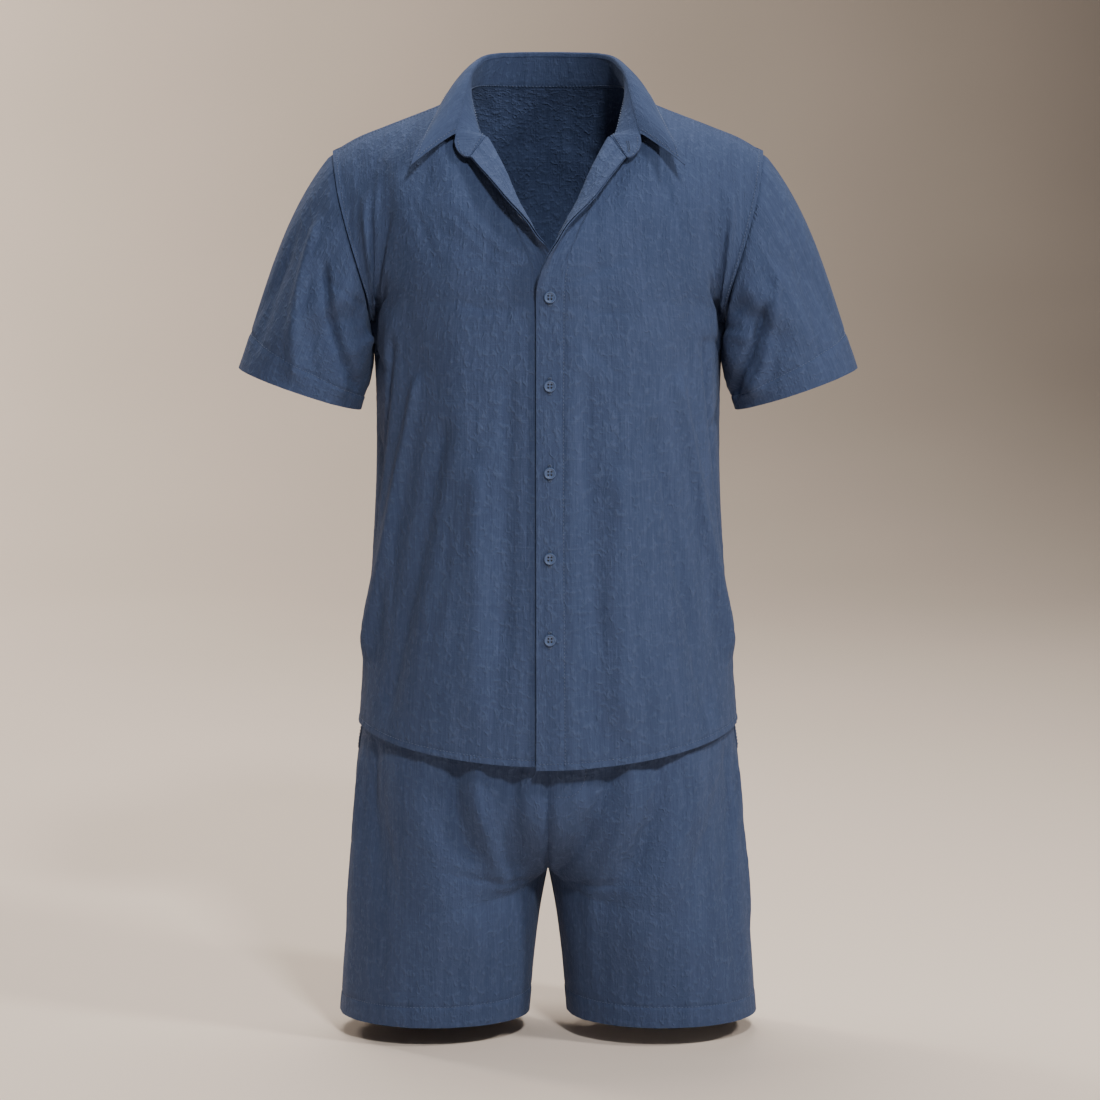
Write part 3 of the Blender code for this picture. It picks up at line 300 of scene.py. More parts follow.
def crease_height(across: Array, up: Array, creases: Sequence[Fold], size: Size) -> Array:
    """How far fine creases lift the cloth: each is sharper on one side than on the other, bends
    a little on its way and thins out towards both ends.

    Args:
        across: shares across the piece.
        up: shares up the piece.
        creases: the creases.
        size: the piece's width and height in metres.

    Returns:
        The lift in metres at each place.
    """
    total = np.zeros(np.broadcast(across, up).shape)
    for number, crease in enumerate(creases):
        start = np.array((crease.from_across * size[0], crease.from_up * size[1]))
        way = np.array((crease.to_across * size[0], crease.to_up * size[1])) - start
        length = np.hypot(*way)
        way = way / length
        x = across * size[0] - start[0]
        y = up * size[1] - start[1]
        along = (x * way[0] + y * way[1]) / length
        bend = length * (0.05 * math.sin(1.7 * number) * np.sin(math.pi * np.clip(along, 0, 1)))
        aside = x * way[1] - y * way[0] - bend
        lean = np.where(aside > 0, 0.7, 1.35)
        thin = np.clip(np.sin(math.pi * np.clip(along, 0, 1)), 0, 1) ** 0.7
        reach = crease.width * lean * (0.55 + 0.45 * thin)
        total = total + crease.depth * thin * np.exp(-((aside / reach) ** 2))
    return total


@dataclass(frozen=True)
class Crumple:
    """The uneven surface of worn linen: soft dents, short crinkles and a fine ripple."""

    seed: int
    strength: float = 1.0
    cells: int = 128

    def lattice(self, x: Array, y: Array, cell: float, layer: int) -> Array:
        """Smooth noise from -1 to 1 with dents about cell wide.

        Args:
            x: metres across.
            y: metres up.
            cell: a dent's width in metres.
            layer: which table of random values.

        Returns:
            One value for each place.
        """
        values = np.random.default_rng(self.seed * 16 + layer).uniform(-1.0, 1.0, (self.cells, self.cells))
        fx, fy = x / cell + 40.0, y / cell + 40.0
        ix, iy = np.floor(fx).astype(int), np.floor(fy).astype(int)
        tx, ty = fx - ix, fy - iy
        tx = tx**3 * (tx * (tx * 6 - 15) + 10)
        ty = ty**3 * (ty * (ty * 6 - 15) + 10)
        x0, x1, y0, y1 = ix % self.cells, (ix + 1) % self.cells, iy % self.cells, (iy + 1) % self.cells
        low = values[y0, x0] * (1 - tx) + values[y0, x1] * tx
        high = values[y1, x0] * (1 - tx) + values[y1, x1] * tx
        return low * (1 - ty) + high * ty

    def height(self, x: Array, y: Array) -> Array:
        """The lift in metres at x across and y up, both in metres.

        Args:
            x: metres across.
            y: metres up.

        Returns:
            The lift at each place.
        """
        warp = 0.010 * self.lattice(x, y, 0.055, 9)
        right = 0.82 * x + 0.57 * y + warp
        left = 0.77 * x - 0.64 * y - warp
        broad = self.lattice(x, 0.6 * y, 0.052, 0)
        strokes = 1 - 2 * np.abs(self.lattice(2.4 * right, 0.8 * left, 0.034, 1))
        crossing = 1 - 2 * np.abs(self.lattice(0.8 * right, 2.2 * left, 0.040, 2))
        upright = self.lattice(2.2 * x + warp, 0.55 * y, 0.026, 3)
        small = self.lattice(right, left, 0.0095, 4)
        calm = 0.60 + 0.40 * self.lattice(x, y, 0.085, 5)
        total = 0.00085 * broad + 0.00042 * strokes + 0.00032 * crossing + 0.00040 * upright + 0.00016 * small
        return self.strength * calm * total


class Wire:
    """A node's socket that takes part in arithmetic and adds the Math nodes that it needs."""

    def __init__(self, graph: "Graph", socket: bpy.types.NodeSocket) -> None:
        """Keeps the graph and the socket."""
        self.graph = graph
        self.socket = socket

    def calculated(self, operation: str, first: object, second: object = 0.0) -> "Wire":
        """The result of a Math node."""
        node = self.graph.node("ShaderNodeMath", {"operation": operation}, {0: first, 1: second})
        return Wire(self.graph, node.outputs[0])

    def __add__(self, other: "Wire | float") -> "Wire":
        """self + other."""
        return self.calculated("ADD", self, other)

    __radd__ = __add__

    def __mul__(self, other: "Wire | float") -> "Wire":
        """self * other."""
        return self.calculated("MULTIPLY", self, other)

    __rmul__ = __mul__

    def __sub__(self, other: "Wire | float") -> "Wire":
        """self - other."""
        return self.calculated("SUBTRACT", self, other)

    def __rsub__(self, other: "Wire | float") -> "Wire":
        """other - self."""
        return self.calculated("SUBTRACT", other, self)

    def sine(self) -> "Wire":
        """The sine of self."""
        return self.calculated("SINE", self)

    def ridge(self, width: float) -> "Wire":
        """1 where self is a half, falling to 0 at width from it."""
        return (1 - self.calculated("ABSOLUTE", self - 0.5) * (1 / width)).clamped()

    def clamped(self) -> "Wire":
        """self held between 0 and 1."""
        return self.calculated("MINIMUM", self.calculated("MAXIMUM", self, 0.0), 1.0)


class Graph:
    """One material and its nodes."""

    def __init__(self, name: str) -> None:
        """Makes an empty material of that name, with a Principled shader.

        Args:
            name: the material's name.
        """
        self.material = bpy.data.materials.new(name)
        self.material.use_nodes = True
        self.nodes = self.material.node_tree.nodes
        self.links = self.material.node_tree.links
        self.shader = self.nodes["Principled BSDF"]

    def node(self, kind: str, settings: dict | None = None, inputs: dict | None = None) -> bpy.types.Node:
        """Adds a node.

        Args:
            kind: the node's type.
            settings: attributes of the node, set first.
            inputs: values, sockets or wires for its sockets, by name or number.

        Returns:
            The node.
        """
        made = self.nodes.new(kind)
        for name, value in (settings or {}).items():
            setattr(made, name, value)
        for name, value in (inputs or {}).items():
            self.feed(made.inputs[name], value)
        return made

    def feed(self, socket: bpy.types.NodeSocket, value: object) -> None:
        """Links or sets one socket.

        Args:
            socket: the socket.
            value: a wire, a socket or a constant.
        """
        if isinstance(value, Wire):
            self.links.new(value.socket, socket)
        elif isinstance(value, bpy.types.NodeSocket):
            self.links.new(value, socket)
        else:
            socket.default_value = value

    def dress(self, values: dict) -> bpy.types.Material:
        """Links or sets the shader's sockets.

        Args:
            values: what each socket gets, by its name.

        Returns:
            The finished material.
        """
        for name, value in values.items():
            self.feed(self.shader.inputs[name], value)
        return self.material

    def noise(self, vector: object, scale: Triple, turn: float, detail: float) -> Wire:
        """Noise on the vector, stretched by scale and turned by turn radians about its third axis.

        Args:
            vector: the coordinates.
            scale: how much finer they run on each axis.
            turn: radians about the third axis.
            detail: how many layers of finer noise.

        Returns:
            The noise, from 0 to 1.
        """
        turned = {"Vector": vector, "Scale": scale, "Rotation": (0, 0, turn)}
        mapped = self.node("ShaderNodeMapping", {}, turned)
        made = self.node("ShaderNodeTexNoise", {}, {"Vector": mapped.outputs[0], "Scale": 1.0, "Detail": detail,
                                                   "Roughness": 0.55})
        return Wire(self, made.outputs[0])

    def blended(self, share: object, first: object, second: object) -> bpy.types.NodeSocket:
        """A colour between first and second.

        Args:
            share: how much of the second.
            first: a colour or its socket.
            second: a colour or its socket.

        Returns:
            The blend's socket.
        """
        made = self.nodes.new("ShaderNodeMix")
        made.data_type = "RGBA"
        self.feed(made.inputs[0], share)
        self.feed(made.inputs[6], first)
        self.feed(made.inputs[7], second)
        return made.outputs[2]


@dataclass(frozen=True)
class Linen:
    """Slubby plain-weave linen, its warp along the second axis of the map called grain."""

    name: str
    slot: str
    deep: Colour = (0.020, 0.032, 0.078, 1.0)
    middle: Colour = (0.056, 0.080, 0.166, 1.0)
    pale: Colour = (0.135, 0.190, 0.335, 1.0)
    pitch: float = 0.00085
    relief: float = 0.0013
    crinkle: float = 1.0

    def make(self) -> bpy.types.Material:
        """The material with its weave, slubs, crinkle, a painted highlight on the crinkle's ridges, and sheen.

        Returns:
            The material.
        """
        graph = Graph(self.name)
        grain = graph.node("ShaderNodeUVMap", {"uv_map": "grain"}).outputs[0]
        parts = graph.node("ShaderNodeSeparateXYZ", {}, {0: grain})
        weft, warp = Wire(graph, parts.outputs[0]), Wire(graph, parts.outputs[1])
        turn = 2 * math.pi / self.pitch
        wander = graph.noise(grain, (60, 60, 1), 0.0, 2.0)
        over = (weft * turn + wander * 4.0).sine() * 0.5 + 0.5
        under = (warp * turn + wander * 4.0).sine() * 0.5 + 0.5
        weave = over * (1 - under) + under * (1 - over)
        warp_slub = graph.noise(grain, (820, 30, 1), 0.0, 3.0)
        weft_slub = graph.noise(grain, (26, 640, 1), 0.0, 3.0)
        long_streak = graph.noise(grain, (240, 9, 1), 0.0, 3.0)
        strokes = graph.noise(grain, (170, 105, 1), 0.60, 1.0).ridge(0.14)
        crossing = graph.noise(grain, (185, 100, 1), -0.55, 1.0).ridge(0.13)
        scattered = ((graph.noise(grain, (80, 55, 1), 0.2, 1.0) - 0.42) * 6.0).clamped()
        broken = ((graph.noise(grain, (150, 130, 1), 0.1, 1.0) - 0.43) * 5.0).clamped()
        raised_lines = (strokes * scattered + crossing * (1 - scattered)) * broken * self.crinkle
        bands = graph.noise(grain, (75, 5, 1), 0.0, 2.0)
        patches = graph.noise(grain, (28, 22, 1), 0.3, 4.0)

        streaks = ((warp_slub - 0.5) * 1.3 + (long_streak - 0.5) * 0.6 + (bands - 0.5) * 0.7 + 0.5).clamped()
        flecks = (((weft_slub - 0.60) * 3.4).clamped() * 0.26 + weave * 0.10).clamped()
        colour = graph.blended(streaks, self.deep, self.middle)
        colour = graph.blended(flecks, colour, self.pale)
        tint = ((patches - 0.5) * 0.7 + 0.5).clamped()
        colour = graph.blended(tint * 0.30, colour, (0.082, 0.128, 0.250, 1.0))
        # Painted highlight: the raised crinkle lines are lightened towards the pale colour, as if they caught the
        # light.
        colour = graph.blended(raised_lines * 0.17, colour, self.pale)
        height = raised_lines * 0.60 + warp_slub * 0.26 + weft_slub * 0.22 + long_streak * 0.26 + weave * 0.08
        raised = graph.node("ShaderNodeBump", {}, {"Strength": 1.0, "Distance": self.relief, "Height": height})
        return graph.dress({
            "Base Color": colour, "Normal": raised.outputs[0], "Roughness": streaks * -0.10 + 0.92,
            "Sheen Weight": 0.10, "Sheen Roughness": 0.40, "Sheen Tint": (0.50, 0.62, 0.90, 1.0),
            "Specular IOR Level": 0.20,
        })


@dataclass(frozen=True)
class Thread:
    """Twisted sewing thread, a shade lighter than the cloth."""

    name: str
    slot: str = "blue_linen"
    colour: Colour = (0.086, 0.123, 0.224, 1.0)

    def make(self) -> bpy.types.Material:
        """The material, with a fine twist in its bump.

        Returns:
            The material.
        """
        graph = Graph(self.name)
        place = graph.node("ShaderNodeTexCoord").outputs["Object"]
        twist = graph.noise(place, (2600, 2600, 2600), 0.6, 1.0)
        shade = graph.blended(twist, tuple(0.75 * c for c in self.colour[:3]) + (1.0,), self.colour)
        raised = graph.node("ShaderNodeBump", {}, {"Strength": 0.5, "Distance": 0.0001, "Height": twist})
        return graph.dress({
            "Base Color": shade, "Normal": raised.outputs[0], "Roughness": 0.6, "Sheen Weight": 0.2,
        })


@dataclass(frozen=True)
class Resin:
    """Cloudy dyed resin of the buttons, satin with a soft gloss."""

    name: str
    slot: str = "blue_button"
    colour: Colour = (0.062, 0.098, 0.195, 1.0)

    def make(self) -> bpy.types.Material:
        """The material, with faint clouds and fine scratches, and painted shade that darkens it in the holes and
        towards the foot.

        Returns:
            The material.
        """
        graph = Graph(self.name)
        place = graph.node("ShaderNodeTexCoord").outputs["Object"]
        clouds = graph.noise(place, (420, 420, 420), 0.0, 3.0)
        scratch = graph.noise(place, (2400, 300, 2400), 0.7, 2.0)
        light = tuple(min(1.0, 1.7 * c) for c in self.colour[:3]) + (1.0,)
        parts = graph.node("ShaderNodeSeparateXYZ", {}, {0: place})
        # Painted shade: the base colour darkens near the button's back, at the foot of its rim and on the floor
        # of its holes, where shade falls.
        raised = (Wire(graph, parts.outputs[2]) * 1200.0 - 0.45).clamped()
        shade = tuple(0.10 * c for c in self.colour[:3]) + (1.0,)
        cloudy = graph.blended(clouds * 0.6, self.colour, light)
        return graph.dress({
            "Base Color": graph.blended(raised, shade, cloudy), "Roughness": scratch * 0.22 + 0.30,
            "Coat Weight": 0.12, "Coat Roughness": 0.2,
        })


@dataclass
class Panel:
    """A cloth piece as a grid of points on its outer face."""

    name: str
    across: Array
    up: Array
    points: Array
    size: Size
    closed: bool = False
    inward: Array | None = None
    missing: Array | None = None
    weft: Array | None = None

    def normals(self) -> Array:
        """Unit normals of the grid, by its neighbours."""
        return grid_normals(self.points, self.closed)

    def lift(self, height: Array, outward: Array) -> None:
        """Moves the points out by height."""
        self.points = self.points + outward * height[..., None]

    def spot(self, across: Array, up: Array, table: Array | None = None) -> Array:
        """Values of the grid at any places.

        Args:
            across: places in the terms of the grid's own lines across.
            up: places in the terms of its lines up.
            table: what to read, the points where it is left out.

        Returns:
            One row for each place.
        """
        values = self.points if table is None else table
        across, up = np.broadcast_arrays(np.asarray(across, float), np.asarray(up, float))
        j = np.clip(np.searchsorted(self.across, across, side="right") - 1, 0, len(self.across) - 2)
        i = np.clip(np.searchsorted(self.up, up, side="right") - 1, 0, len(self.up) - 2)
        u = ((across - self.across[j]) / (self.across[j + 1] - self.across[j]))[..., None]
        v = ((up - self.up[i]) / (self.up[i + 1] - self.up[i]))[..., None]
        low = values[i, j] * (1 - u) + values[i, j + 1] * u
        high = values[i + 1, j] * (1 - u) + values[i + 1, j + 1] * u
        return low * (1 - v) + high * v

    def up_at(self, share: float, level: float) -> float:
        """How far up the piece lies a world height, on the line at share across it."""
        column = self.spot(np.full(len(self.up), share), self.up)
        return np.interp(level, column[:, 2], self.up)

    def mirrored(self, name: str) -> "Panel":
        """The piece on the other side of the middle plane.

        Args:
            name: the new piece's name.

        Returns:
            The mirrored piece.
        """
        inward = None if self.inward is None else self.inward * FLIP
        points = self.points * FLIP
        return Panel(name, self.across, self.up, points, self.size, self.closed, inward, self.missing,
                     self.weft)

    def shell(self, wall: Array | float, finish: bpy.types.Material, slot: str) -> bpy.types.Object:
        """The piece as a closed thin shell.

        Args:
            wall: its thickness, one number or one for each point.
            finish: its material.
            slot: not used.

        Returns:
            The object, which rides on the body.
        """
        rows, columns = self.points.shape[:2]
        wall = np.broadcast_to(np.asarray(wall, float), (rows, columns))[..., None]
        inner = self.points + self.inward * wall
        places = np.concatenate((self.points.reshape(-1, 3), inner.reshape(-1, 3)))
        wide = columns if self.closed else columns - 1
        there = np.ones((rows - 1, wide), bool)
        if self.missing is not None:
            there &= ~self.missing[:, :wide]
        index = np.arange(rows * columns).reshape(rows, columns)
        right = np.roll(index, -1, axis=1)[:, :wide]
        left = index[:, :wide]
        below = rows * columns
        outer = np.stack((left[:-1], right[:-1], right[1:], left[1:]), axis=-1)[there]
        faces = [outer, outer[:, ::-1] + below]
        padded = np.pad(there, ((1, 1), (0, 0)))
        for edge, order in ((padded[1:] & ~padded[:-1], 1), (padded[:-1] & ~padded[1:], -1)):
            a, b = left[edge], right[edge]
            rim = np.stack((b, a, a + below, b + below), axis=-1)
            faces.append(rim[:, ::order])
        if not self.closed:
            padded = np.pad(there, ((0, 0), (1, 1)))
            for edge, order in ((padded[:, 1:] & ~padded[:, :-1], 1), (padded[:, :-1] & ~padded[:, 1:], -1)):
                i, j = np.nonzero(edge)
                a, b = index[i, j], index[i + 1, j]
                rim = np.stack((a, b, b + below, a + below), axis=-1)
                faces.append(rim[:, ::order])
        faces = np.concatenate(faces)
        first = places[outer]
        facing = np.cross(first[:, 1] - first[:, 0], first[:, 3] - first[:, 0])
        ways = self.inward.reshape(-1, 3)[outer[:, 0]]
        if (facing * ways).sum() > 0:
            faces = faces[:, ::-1]
        x = np.broadcast_to(self.across * self.size[0], (rows, columns)) if self.weft is None else self.weft
        y = np.broadcast_to((self.up * self.size[1])[:, None], (rows, columns))
        grain = np.tile(np.stack((x, y), axis=-1).reshape(-1, 2), (2, 1))
        return solid_of(self.name, places, faces, grain, finish)


def solid_of(name: str, places: Array, faces: Array, grain: Array | None, finish: bpy.types.Material) -> bpy.types.Object:
    """An object from points and four-cornered faces.

    Args:
        name: its name.
        places: its points.
        faces: four point numbers for each face.
        grain: the map coordinates of each point, in metres along weft and warp.
        finish: its material.

    Returns:
        The object, which rides on the body.
    """
    used, faces_used = np.unique(faces, return_inverse=True)
    faces = faces_used.reshape(faces.shape)
    mesh = mesh_of(name, places[used].tolist(), faces.tolist())
    if grain is not None:
        layer = mesh.uv_layers.new(name="grain")
        corners = np.empty(len(mesh.loops), np.int32)
        mesh.loops.foreach_get("vertex_index", corners)
        layer.data.foreach_set("uv", grain[used][corners].astype(np.float32).ravel())
    mesh.materials.append(finish)
    mesh.shade_smooth()
    mesh.set_sharp_from_angle(angle=math.radians(55))
    made = placed(name, mesh)
    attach(made, "root")
    return made


@dataclass
class Stitching:
    """Short threads along lines, gathered into one piece."""

    name: str
    finish: bpy.types.Material
    slot: str
    length: float = 0.0024
    step: float = 0.0036
    radius: float = 0.00034
    rise: float = 0.00022
    bars: list[tuple[Array, Array, Array]] = field(default_factory=list)

    def bar(self, start: Array, end: Array, out: Array) -> None:
        """Adds one thread from start to end, on a surface whose outward way is out."""
        self.bars.append((start, end, out))

    def on(self, panel: Panel, across: Array, up: Array) -> None:
        """Adds a row of stitches on a panel's outer face."""
        self.line(panel.spot(across, up), -panel.spot(across, up, panel.inward))

    def line(self, points: Array, outward: Array) -> None:
        """Adds a row of stitches.

        Args:
            points: places along the row.
            outward: the surface's outward way at each of them.
        """
        walked = np.concatenate(((0.0,), np.cumsum(np.linalg.norm(np.diff(points, axis=0), axis=1))))
        starts = np.arange(self.step / 2, walked[-1] - self.length, self.step)
        for start in starts:
            ends = [np.array([np.interp(at, walked, points[:, k]) for k in range(3)]) for at in
                    (start, start + self.length)]
            out = np.array([np.interp(start + self.length / 2, walked, outward[:, k]) for k in range(3)])
            self.bar(ends[0], ends[1], unit(out))

    def build(self) -> bpy.types.Object:
        """All the threads as one mesh, each a four-sided bead with pointed ends.

        Returns:
            The object.
        """
        starts, ends, outs = (np.array(values) for values in zip(*self.bars))
        along = ends - starts
        aside = unit(np.cross(along, outs)) * self.radius
        high = outs * (self.radius + self.rise)
        rings = []
        for share, size in ((0.0, 0.15), (0.22, 1.0), (0.78, 1.0), (1.0, 0.15)):
            centre = starts + along * share + outs * self.rise * (1.0 if size > 0.5 else -1.0)
            rings.append(np.stack([centre + way * size for way in (aside, high, -aside, -high)], axis=1))
        places = np.stack(rings, axis=1)
        count = len(self.bars)
        base = np.arange(count)[:, None, None] * 16
        faces = [base + np.array([[0, 3, 2, 1]]), base + np.array([[12, 13, 14, 15]])]
        for ring in range(3):
            for k in range(4):
                a, b = ring * 4 + k, ring * 4 + (k + 1) % 4
                faces.append(base + np.array([[a, b, b + 4, a + 4]]))
        faces = np.concatenate([f.reshape(-1, 4) for f in faces])
        return solid_of(self.name, places.reshape(-1, 3), faces, None, self.finish)


@dataclass
class Wardrobe:
    """The finishes that the pieces share, and the rows of stitches of each garment."""

    linen: Linen = Linen("blue_slub_linen", "blue_linen")
    collar: Linen = Linen("blue_slub_linen_collar", "blue_linen_interlined", crinkle=0.6, relief=0.0012)
    thread: Thread = Thread("sewing_thread")
    resin: Resin = Resin("button_resin")
    wall: float = 0.0009

    def __post_init__(self) -> None:
        """Makes the materials and the empty stitching."""
        self.cloth = self.linen.make()
        self.collar_cloth = self.collar.make()
        self.thread_material = self.thread.make()
        self.button_material = self.resin.make()
        self.shirt_thread = Stitching("shirt_stitching", self.thread_material, self.thread.slot)
        self.shorts_thread = Stitching("shorts_stitching", self.thread_material, self.thread.slot)

    def sheet(self, piece: bpy.types.Object, flat: Size, held: Held, node: str,
              area: float | None = None) -> None:
        """Says what cloth a piece was cut from and which solid it stands for.

        Args:
            piece: the piece.
            flat: the size of its cut that shows.
            held: not used.
            node: the solid that it stands for.
            area: not used.
        """
        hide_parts(node)
        log.info("%s: %d faces, cut %.3f x %.3f m", piece.name, len(piece.data.polygons), *flat)


@dataclass
class Shirt:
    """The shirt's panels: back, fronts with their facings, and sleeves."""

    kit: Wardrobe
    spacing: float = 0.0033
    chest_front_z: float = -0.1926
    armpit_z: float = -0.2280
    hem_centre_z: float = -0.6780
    hem_side_z: float = -0.6450
    hem_back_z: float = -0.6900
    under_hem_rise: float = 0.003
    fullness: float = 0.055
    lower_share: float = 0.62
    roll_share: float = 9 / 13
    back_neck_share: float = 0.38
    roll_radius: float = 0.0034
    roll_length: float = 0.185
    overlap_raise: float = 0.0040
    facing_width: float = 0.027
    size: Size = (0.25, 0.70)
    trunk_sizes: Table = Table(
        ("z", "half_width", "front", "back"),
        (
            (-0.7000, 0.2040, 0.1330, 0.1420),
            (-0.6400, 0.1990, 0.1330, 0.1400),
            (-0.5780, 0.1932, 0.1320, 0.1330),
            (-0.5000, 0.1862, 0.1300, 0.1230),
            (-0.4300, 0.1815, 0.1285, 0.1150),
            (-0.3600, 0.1792, 0.1280, 0.1140),
            (-0.2900, 0.1797, 0.1275, 0.1190),
            (-0.2280, 0.1835, 0.1265, 0.1240),
            (-0.1500, 0.1880, 0.1240, 0.1260),
        ),
    )
    armhole_sizes: Table = Table(
        ("along", "x", "front", "back", "z"),
        (
            (0.00, 0.1835, 0.000, 0.000, -0.2280),
            (0.12, 0.1838, 0.029, 0.030, -0.2230),
            (0.27, 0.1862, 0.055, 0.058, -0.2010),
            (0.45, 0.1968, 0.066, 0.071, -0.1620),
            (0.62, 0.2078, 0.061, 0.068, -0.1240),
            (0.78, 0.2165, 0.047, 0.054, -0.0890),
            (0.90, 0.2210, 0.027, 0.030, -0.0620),
            (1.00, 0.2227, 0.004, -0.004, -0.0500),
        ),
    )
    shoulder_sizes: Table = Table(
        ("along", "x", "y", "z"),
        (
            (0.00, 0.0830, -0.0080, 0.0115),
            (0.20, 0.1085, -0.0080, 0.0000),
            (0.62, 0.1684, -0.0070, -0.0235),
            (0.83, 0.1990, -0.0055, -0.0360),
            (1.00, 0.2227, -0.0040, -0.0500),
        ),
    )
    neck_front: Table = Table(
        ("along", "x", "y", "z"),
        (
            (0.00, 0.0675, -0.0560, -0.0330),
            (0.34, 0.0730, -0.0455, -0.0205),
            (0.68, 0.0790, -0.0290, -0.0035),
            (1.00, 0.0830, -0.0080, 0.0115),
        ),
    )
    neck_back: Table = Table(
        ("along", "x", "y", "z"),
        (
            (0.00, 0.0000, 0.0730, 0.0130),
            (0.40, 0.0430, 0.0640, 0.0135),
            (0.70, 0.0700, 0.0390, 0.0145),
            (0.87, 0.0800, 0.0150, 0.0140),
            (1.00, 0.0830, -0.0080, 0.0115),
        ),
    )
    roll_sizes: Table = Table(
        ("along", "x", "y", "z", "over_turned", "under_turned", "over_angle", "under_angle", "lean"),
        (
            (0.00, 0.0000, -0.1265, -0.1926, 0.0120, 0.0120, 0.0, 0.0, 0.00),
            (0.16, 0.0026, -0.1262, -0.1668, 0.0138, 0.0120, 54.0, 0.0, 0.04),
            (0.23, 0.0062, -0.1248, -0.1545, 0.0153, 0.0108, 74.0, 5.0, 0.06),
            (0.33, 0.0135, -0.1208, -0.1380, 0.0176, 0.0135, 96.0, 80.0, 0.11),
            (0.42, 0.0208, -0.1148, -0.1230, 0.0200, 0.0175, 112.0, 100.0, 0.18),
            (0.55, 0.0325, -0.1045, -0.1030, 0.0235, 0.0225, 132.0, 120.0, 0.30),
            (0.78, 0.0485, -0.0820, -0.0680, 0.0295, 0.0290, 152.0, 148.0, 0.50),
            (1.00, 0.0675, -0.0560, -0.0330, 0.0340, 0.0340, 164.0, 162.0, 0.64),
        ),
    )
    front_folds: tuple[Fold, ...] = folds(
        (0.62, 0.62, 0.88, 0.06, 0.017, 0.0042), (0.50, 0.60, 0.70, 0.02, 0.026, -0.0040),
        (0.30, 0.66, 0.34, 0.02, 0.022, 0.0024), (0.10, 0.52, 0.16, 0.02, 0.016, -0.0024),
        (0.93, 0.52, 0.74, 0.80, 0.017, -0.0045), (0.14, 0.66, 0.42, 0.76, 0.014, -0.0022),
        (0.60, 0.93, 0.44, 0.70, 0.020, 0.0026),
    )
    back_folds: tuple[Fold, ...] = folds(
        (0.60, 0.60, 0.84, 0.05, 0.018, 0.0044), (0.40, 0.62, 0.52, 0.02, 0.026, -0.0042),
        (0.16, 0.70, 0.20, 0.02, 0.024, 0.0034), (0.94, 0.52, 0.70, 0.82, 0.018, -0.0045),
        (0.02, 0.86, 0.36, 0.72, 0.018, -0.0024),
    )
    left_creases: tuple[Fold, ...] = folds(
        (0.98, 0.60, 0.62, 0.70, 0.0055, -0.0030), (0.97, 0.57, 0.60, 0.57, 0.0060, -0.0027),
        (0.96, 0.53, 0.70, 0.43, 0.0065, -0.0027), (0.90, 0.64, 0.72, 0.86, 0.0060, 0.0023),
        (0.05, 0.64, 0.34, 0.70, 0.0045, -0.0019), (0.06, 0.61, 0.30, 0.60, 0.0045, -0.0016),
        (0.07, 0.58, 0.26, 0.51, 0.0050, -0.0015), (0.68, 0.50, 0.80, 0.22, 0.0070, -0.0027),
        (0.80, 0.40, 0.95, 0.12, 0.0060, 0.0024), (0.40, 0.46, 0.46, 0.20, 0.0070, 0.0018),
        (0.24, 0.34, 0.20, 0.10, 0.0060, -0.0016), (0.52, 0.30, 0.60, 0.04, 0.0080, 0.0022),
        (0.33, 0.84, 0.52, 0.72, 0.0060, -0.0018),
    )
    right_creases: tuple[Fold, ...] = folds(
        (0.98, 0.61, 0.58, 0.66, 0.0055, -0.0030), (0.97, 0.58, 0.66, 0.52, 0.0060, -0.0027),
        (0.96, 0.54, 0.76, 0.38, 0.0060, -0.0026), (0.88, 0.66, 0.66, 0.90, 0.0065, 0.0023),
        (0.07, 0.65, 0.30, 0.77, 0.0045, -0.0018), (0.09, 0.60, 0.36, 0.62, 0.0050, -0.0018),
        (0.72, 0.52, 0.86, 0.26, 0.0070, -0.0028), (0.60, 0.44, 0.66, 0.14, 0.0080, 0.0026),
        (0.86, 0.34, 0.94, 0.10, 0.0055, 0.0022), (0.34, 0.40, 0.42, 0.12, 0.0070, -0.0019),
        (0.18, 0.46, 0.26, 0.24, 0.0060, 0.0016), (0.46, 0.80, 0.36, 0.66, 0.0060, -0.0016),
    )
    back_creases: tuple[Fold, ...] = folds(
        (-0.97, 0.60, -0.56, 0.72, 0.0060, -0.0030), (-0.96, 0.56, -0.62, 0.52, 0.0060, -0.0027),
        (-0.95, 0.50, -0.72, 0.36, 0.0070, -0.0024), (0.97, 0.61, 0.60, 0.70, 0.0060, -0.0028),
        (0.96, 0.57, 0.58, 0.55, 0.0060, -0.0027), (0.95, 0.51, 0.68, 0.34, 0.0065, -0.0026),
        (-0.30, 0.52, -0.36, 0.18, 0.0080, 0.0024), (0.10, 0.56, 0.14, 0.24, 0.0075, -0.0022),
        (0.46, 0.44, 0.56, 0.10, 0.0080, 0.0024), (-0.62, 0.40, -0.72, 0.08, 0.0075, -0.0024),
        (-0.12, 0.86, -0.44, 0.78, 0.0065, -0.0018), (0.08, 0.88, 0.42, 0.80, 0.0065, -0.0016),
    )
    sleeve_folds: tuple[Fold, ...] = folds(
        (0.36, 0.06, 0.23, 0.72, 0.012, 0.0046), (0.30, 0.12, 0.15, 0.86, 0.014, -0.0042),
        (0.43, 0.16, 0.34, 0.98, 0.013, -0.0048), (0.10, 0.10, 0.08, 0.80, 0.016, 0.0028),
        (0.64, 0.08, 0.78, 0.76, 0.014, 0.0042), (0.57, 0.16, 0.66, 0.96, 0.014, -0.0046),
        (0.86, 0.12, 0.90, 0.84, 0.018, -0.0026),
    )
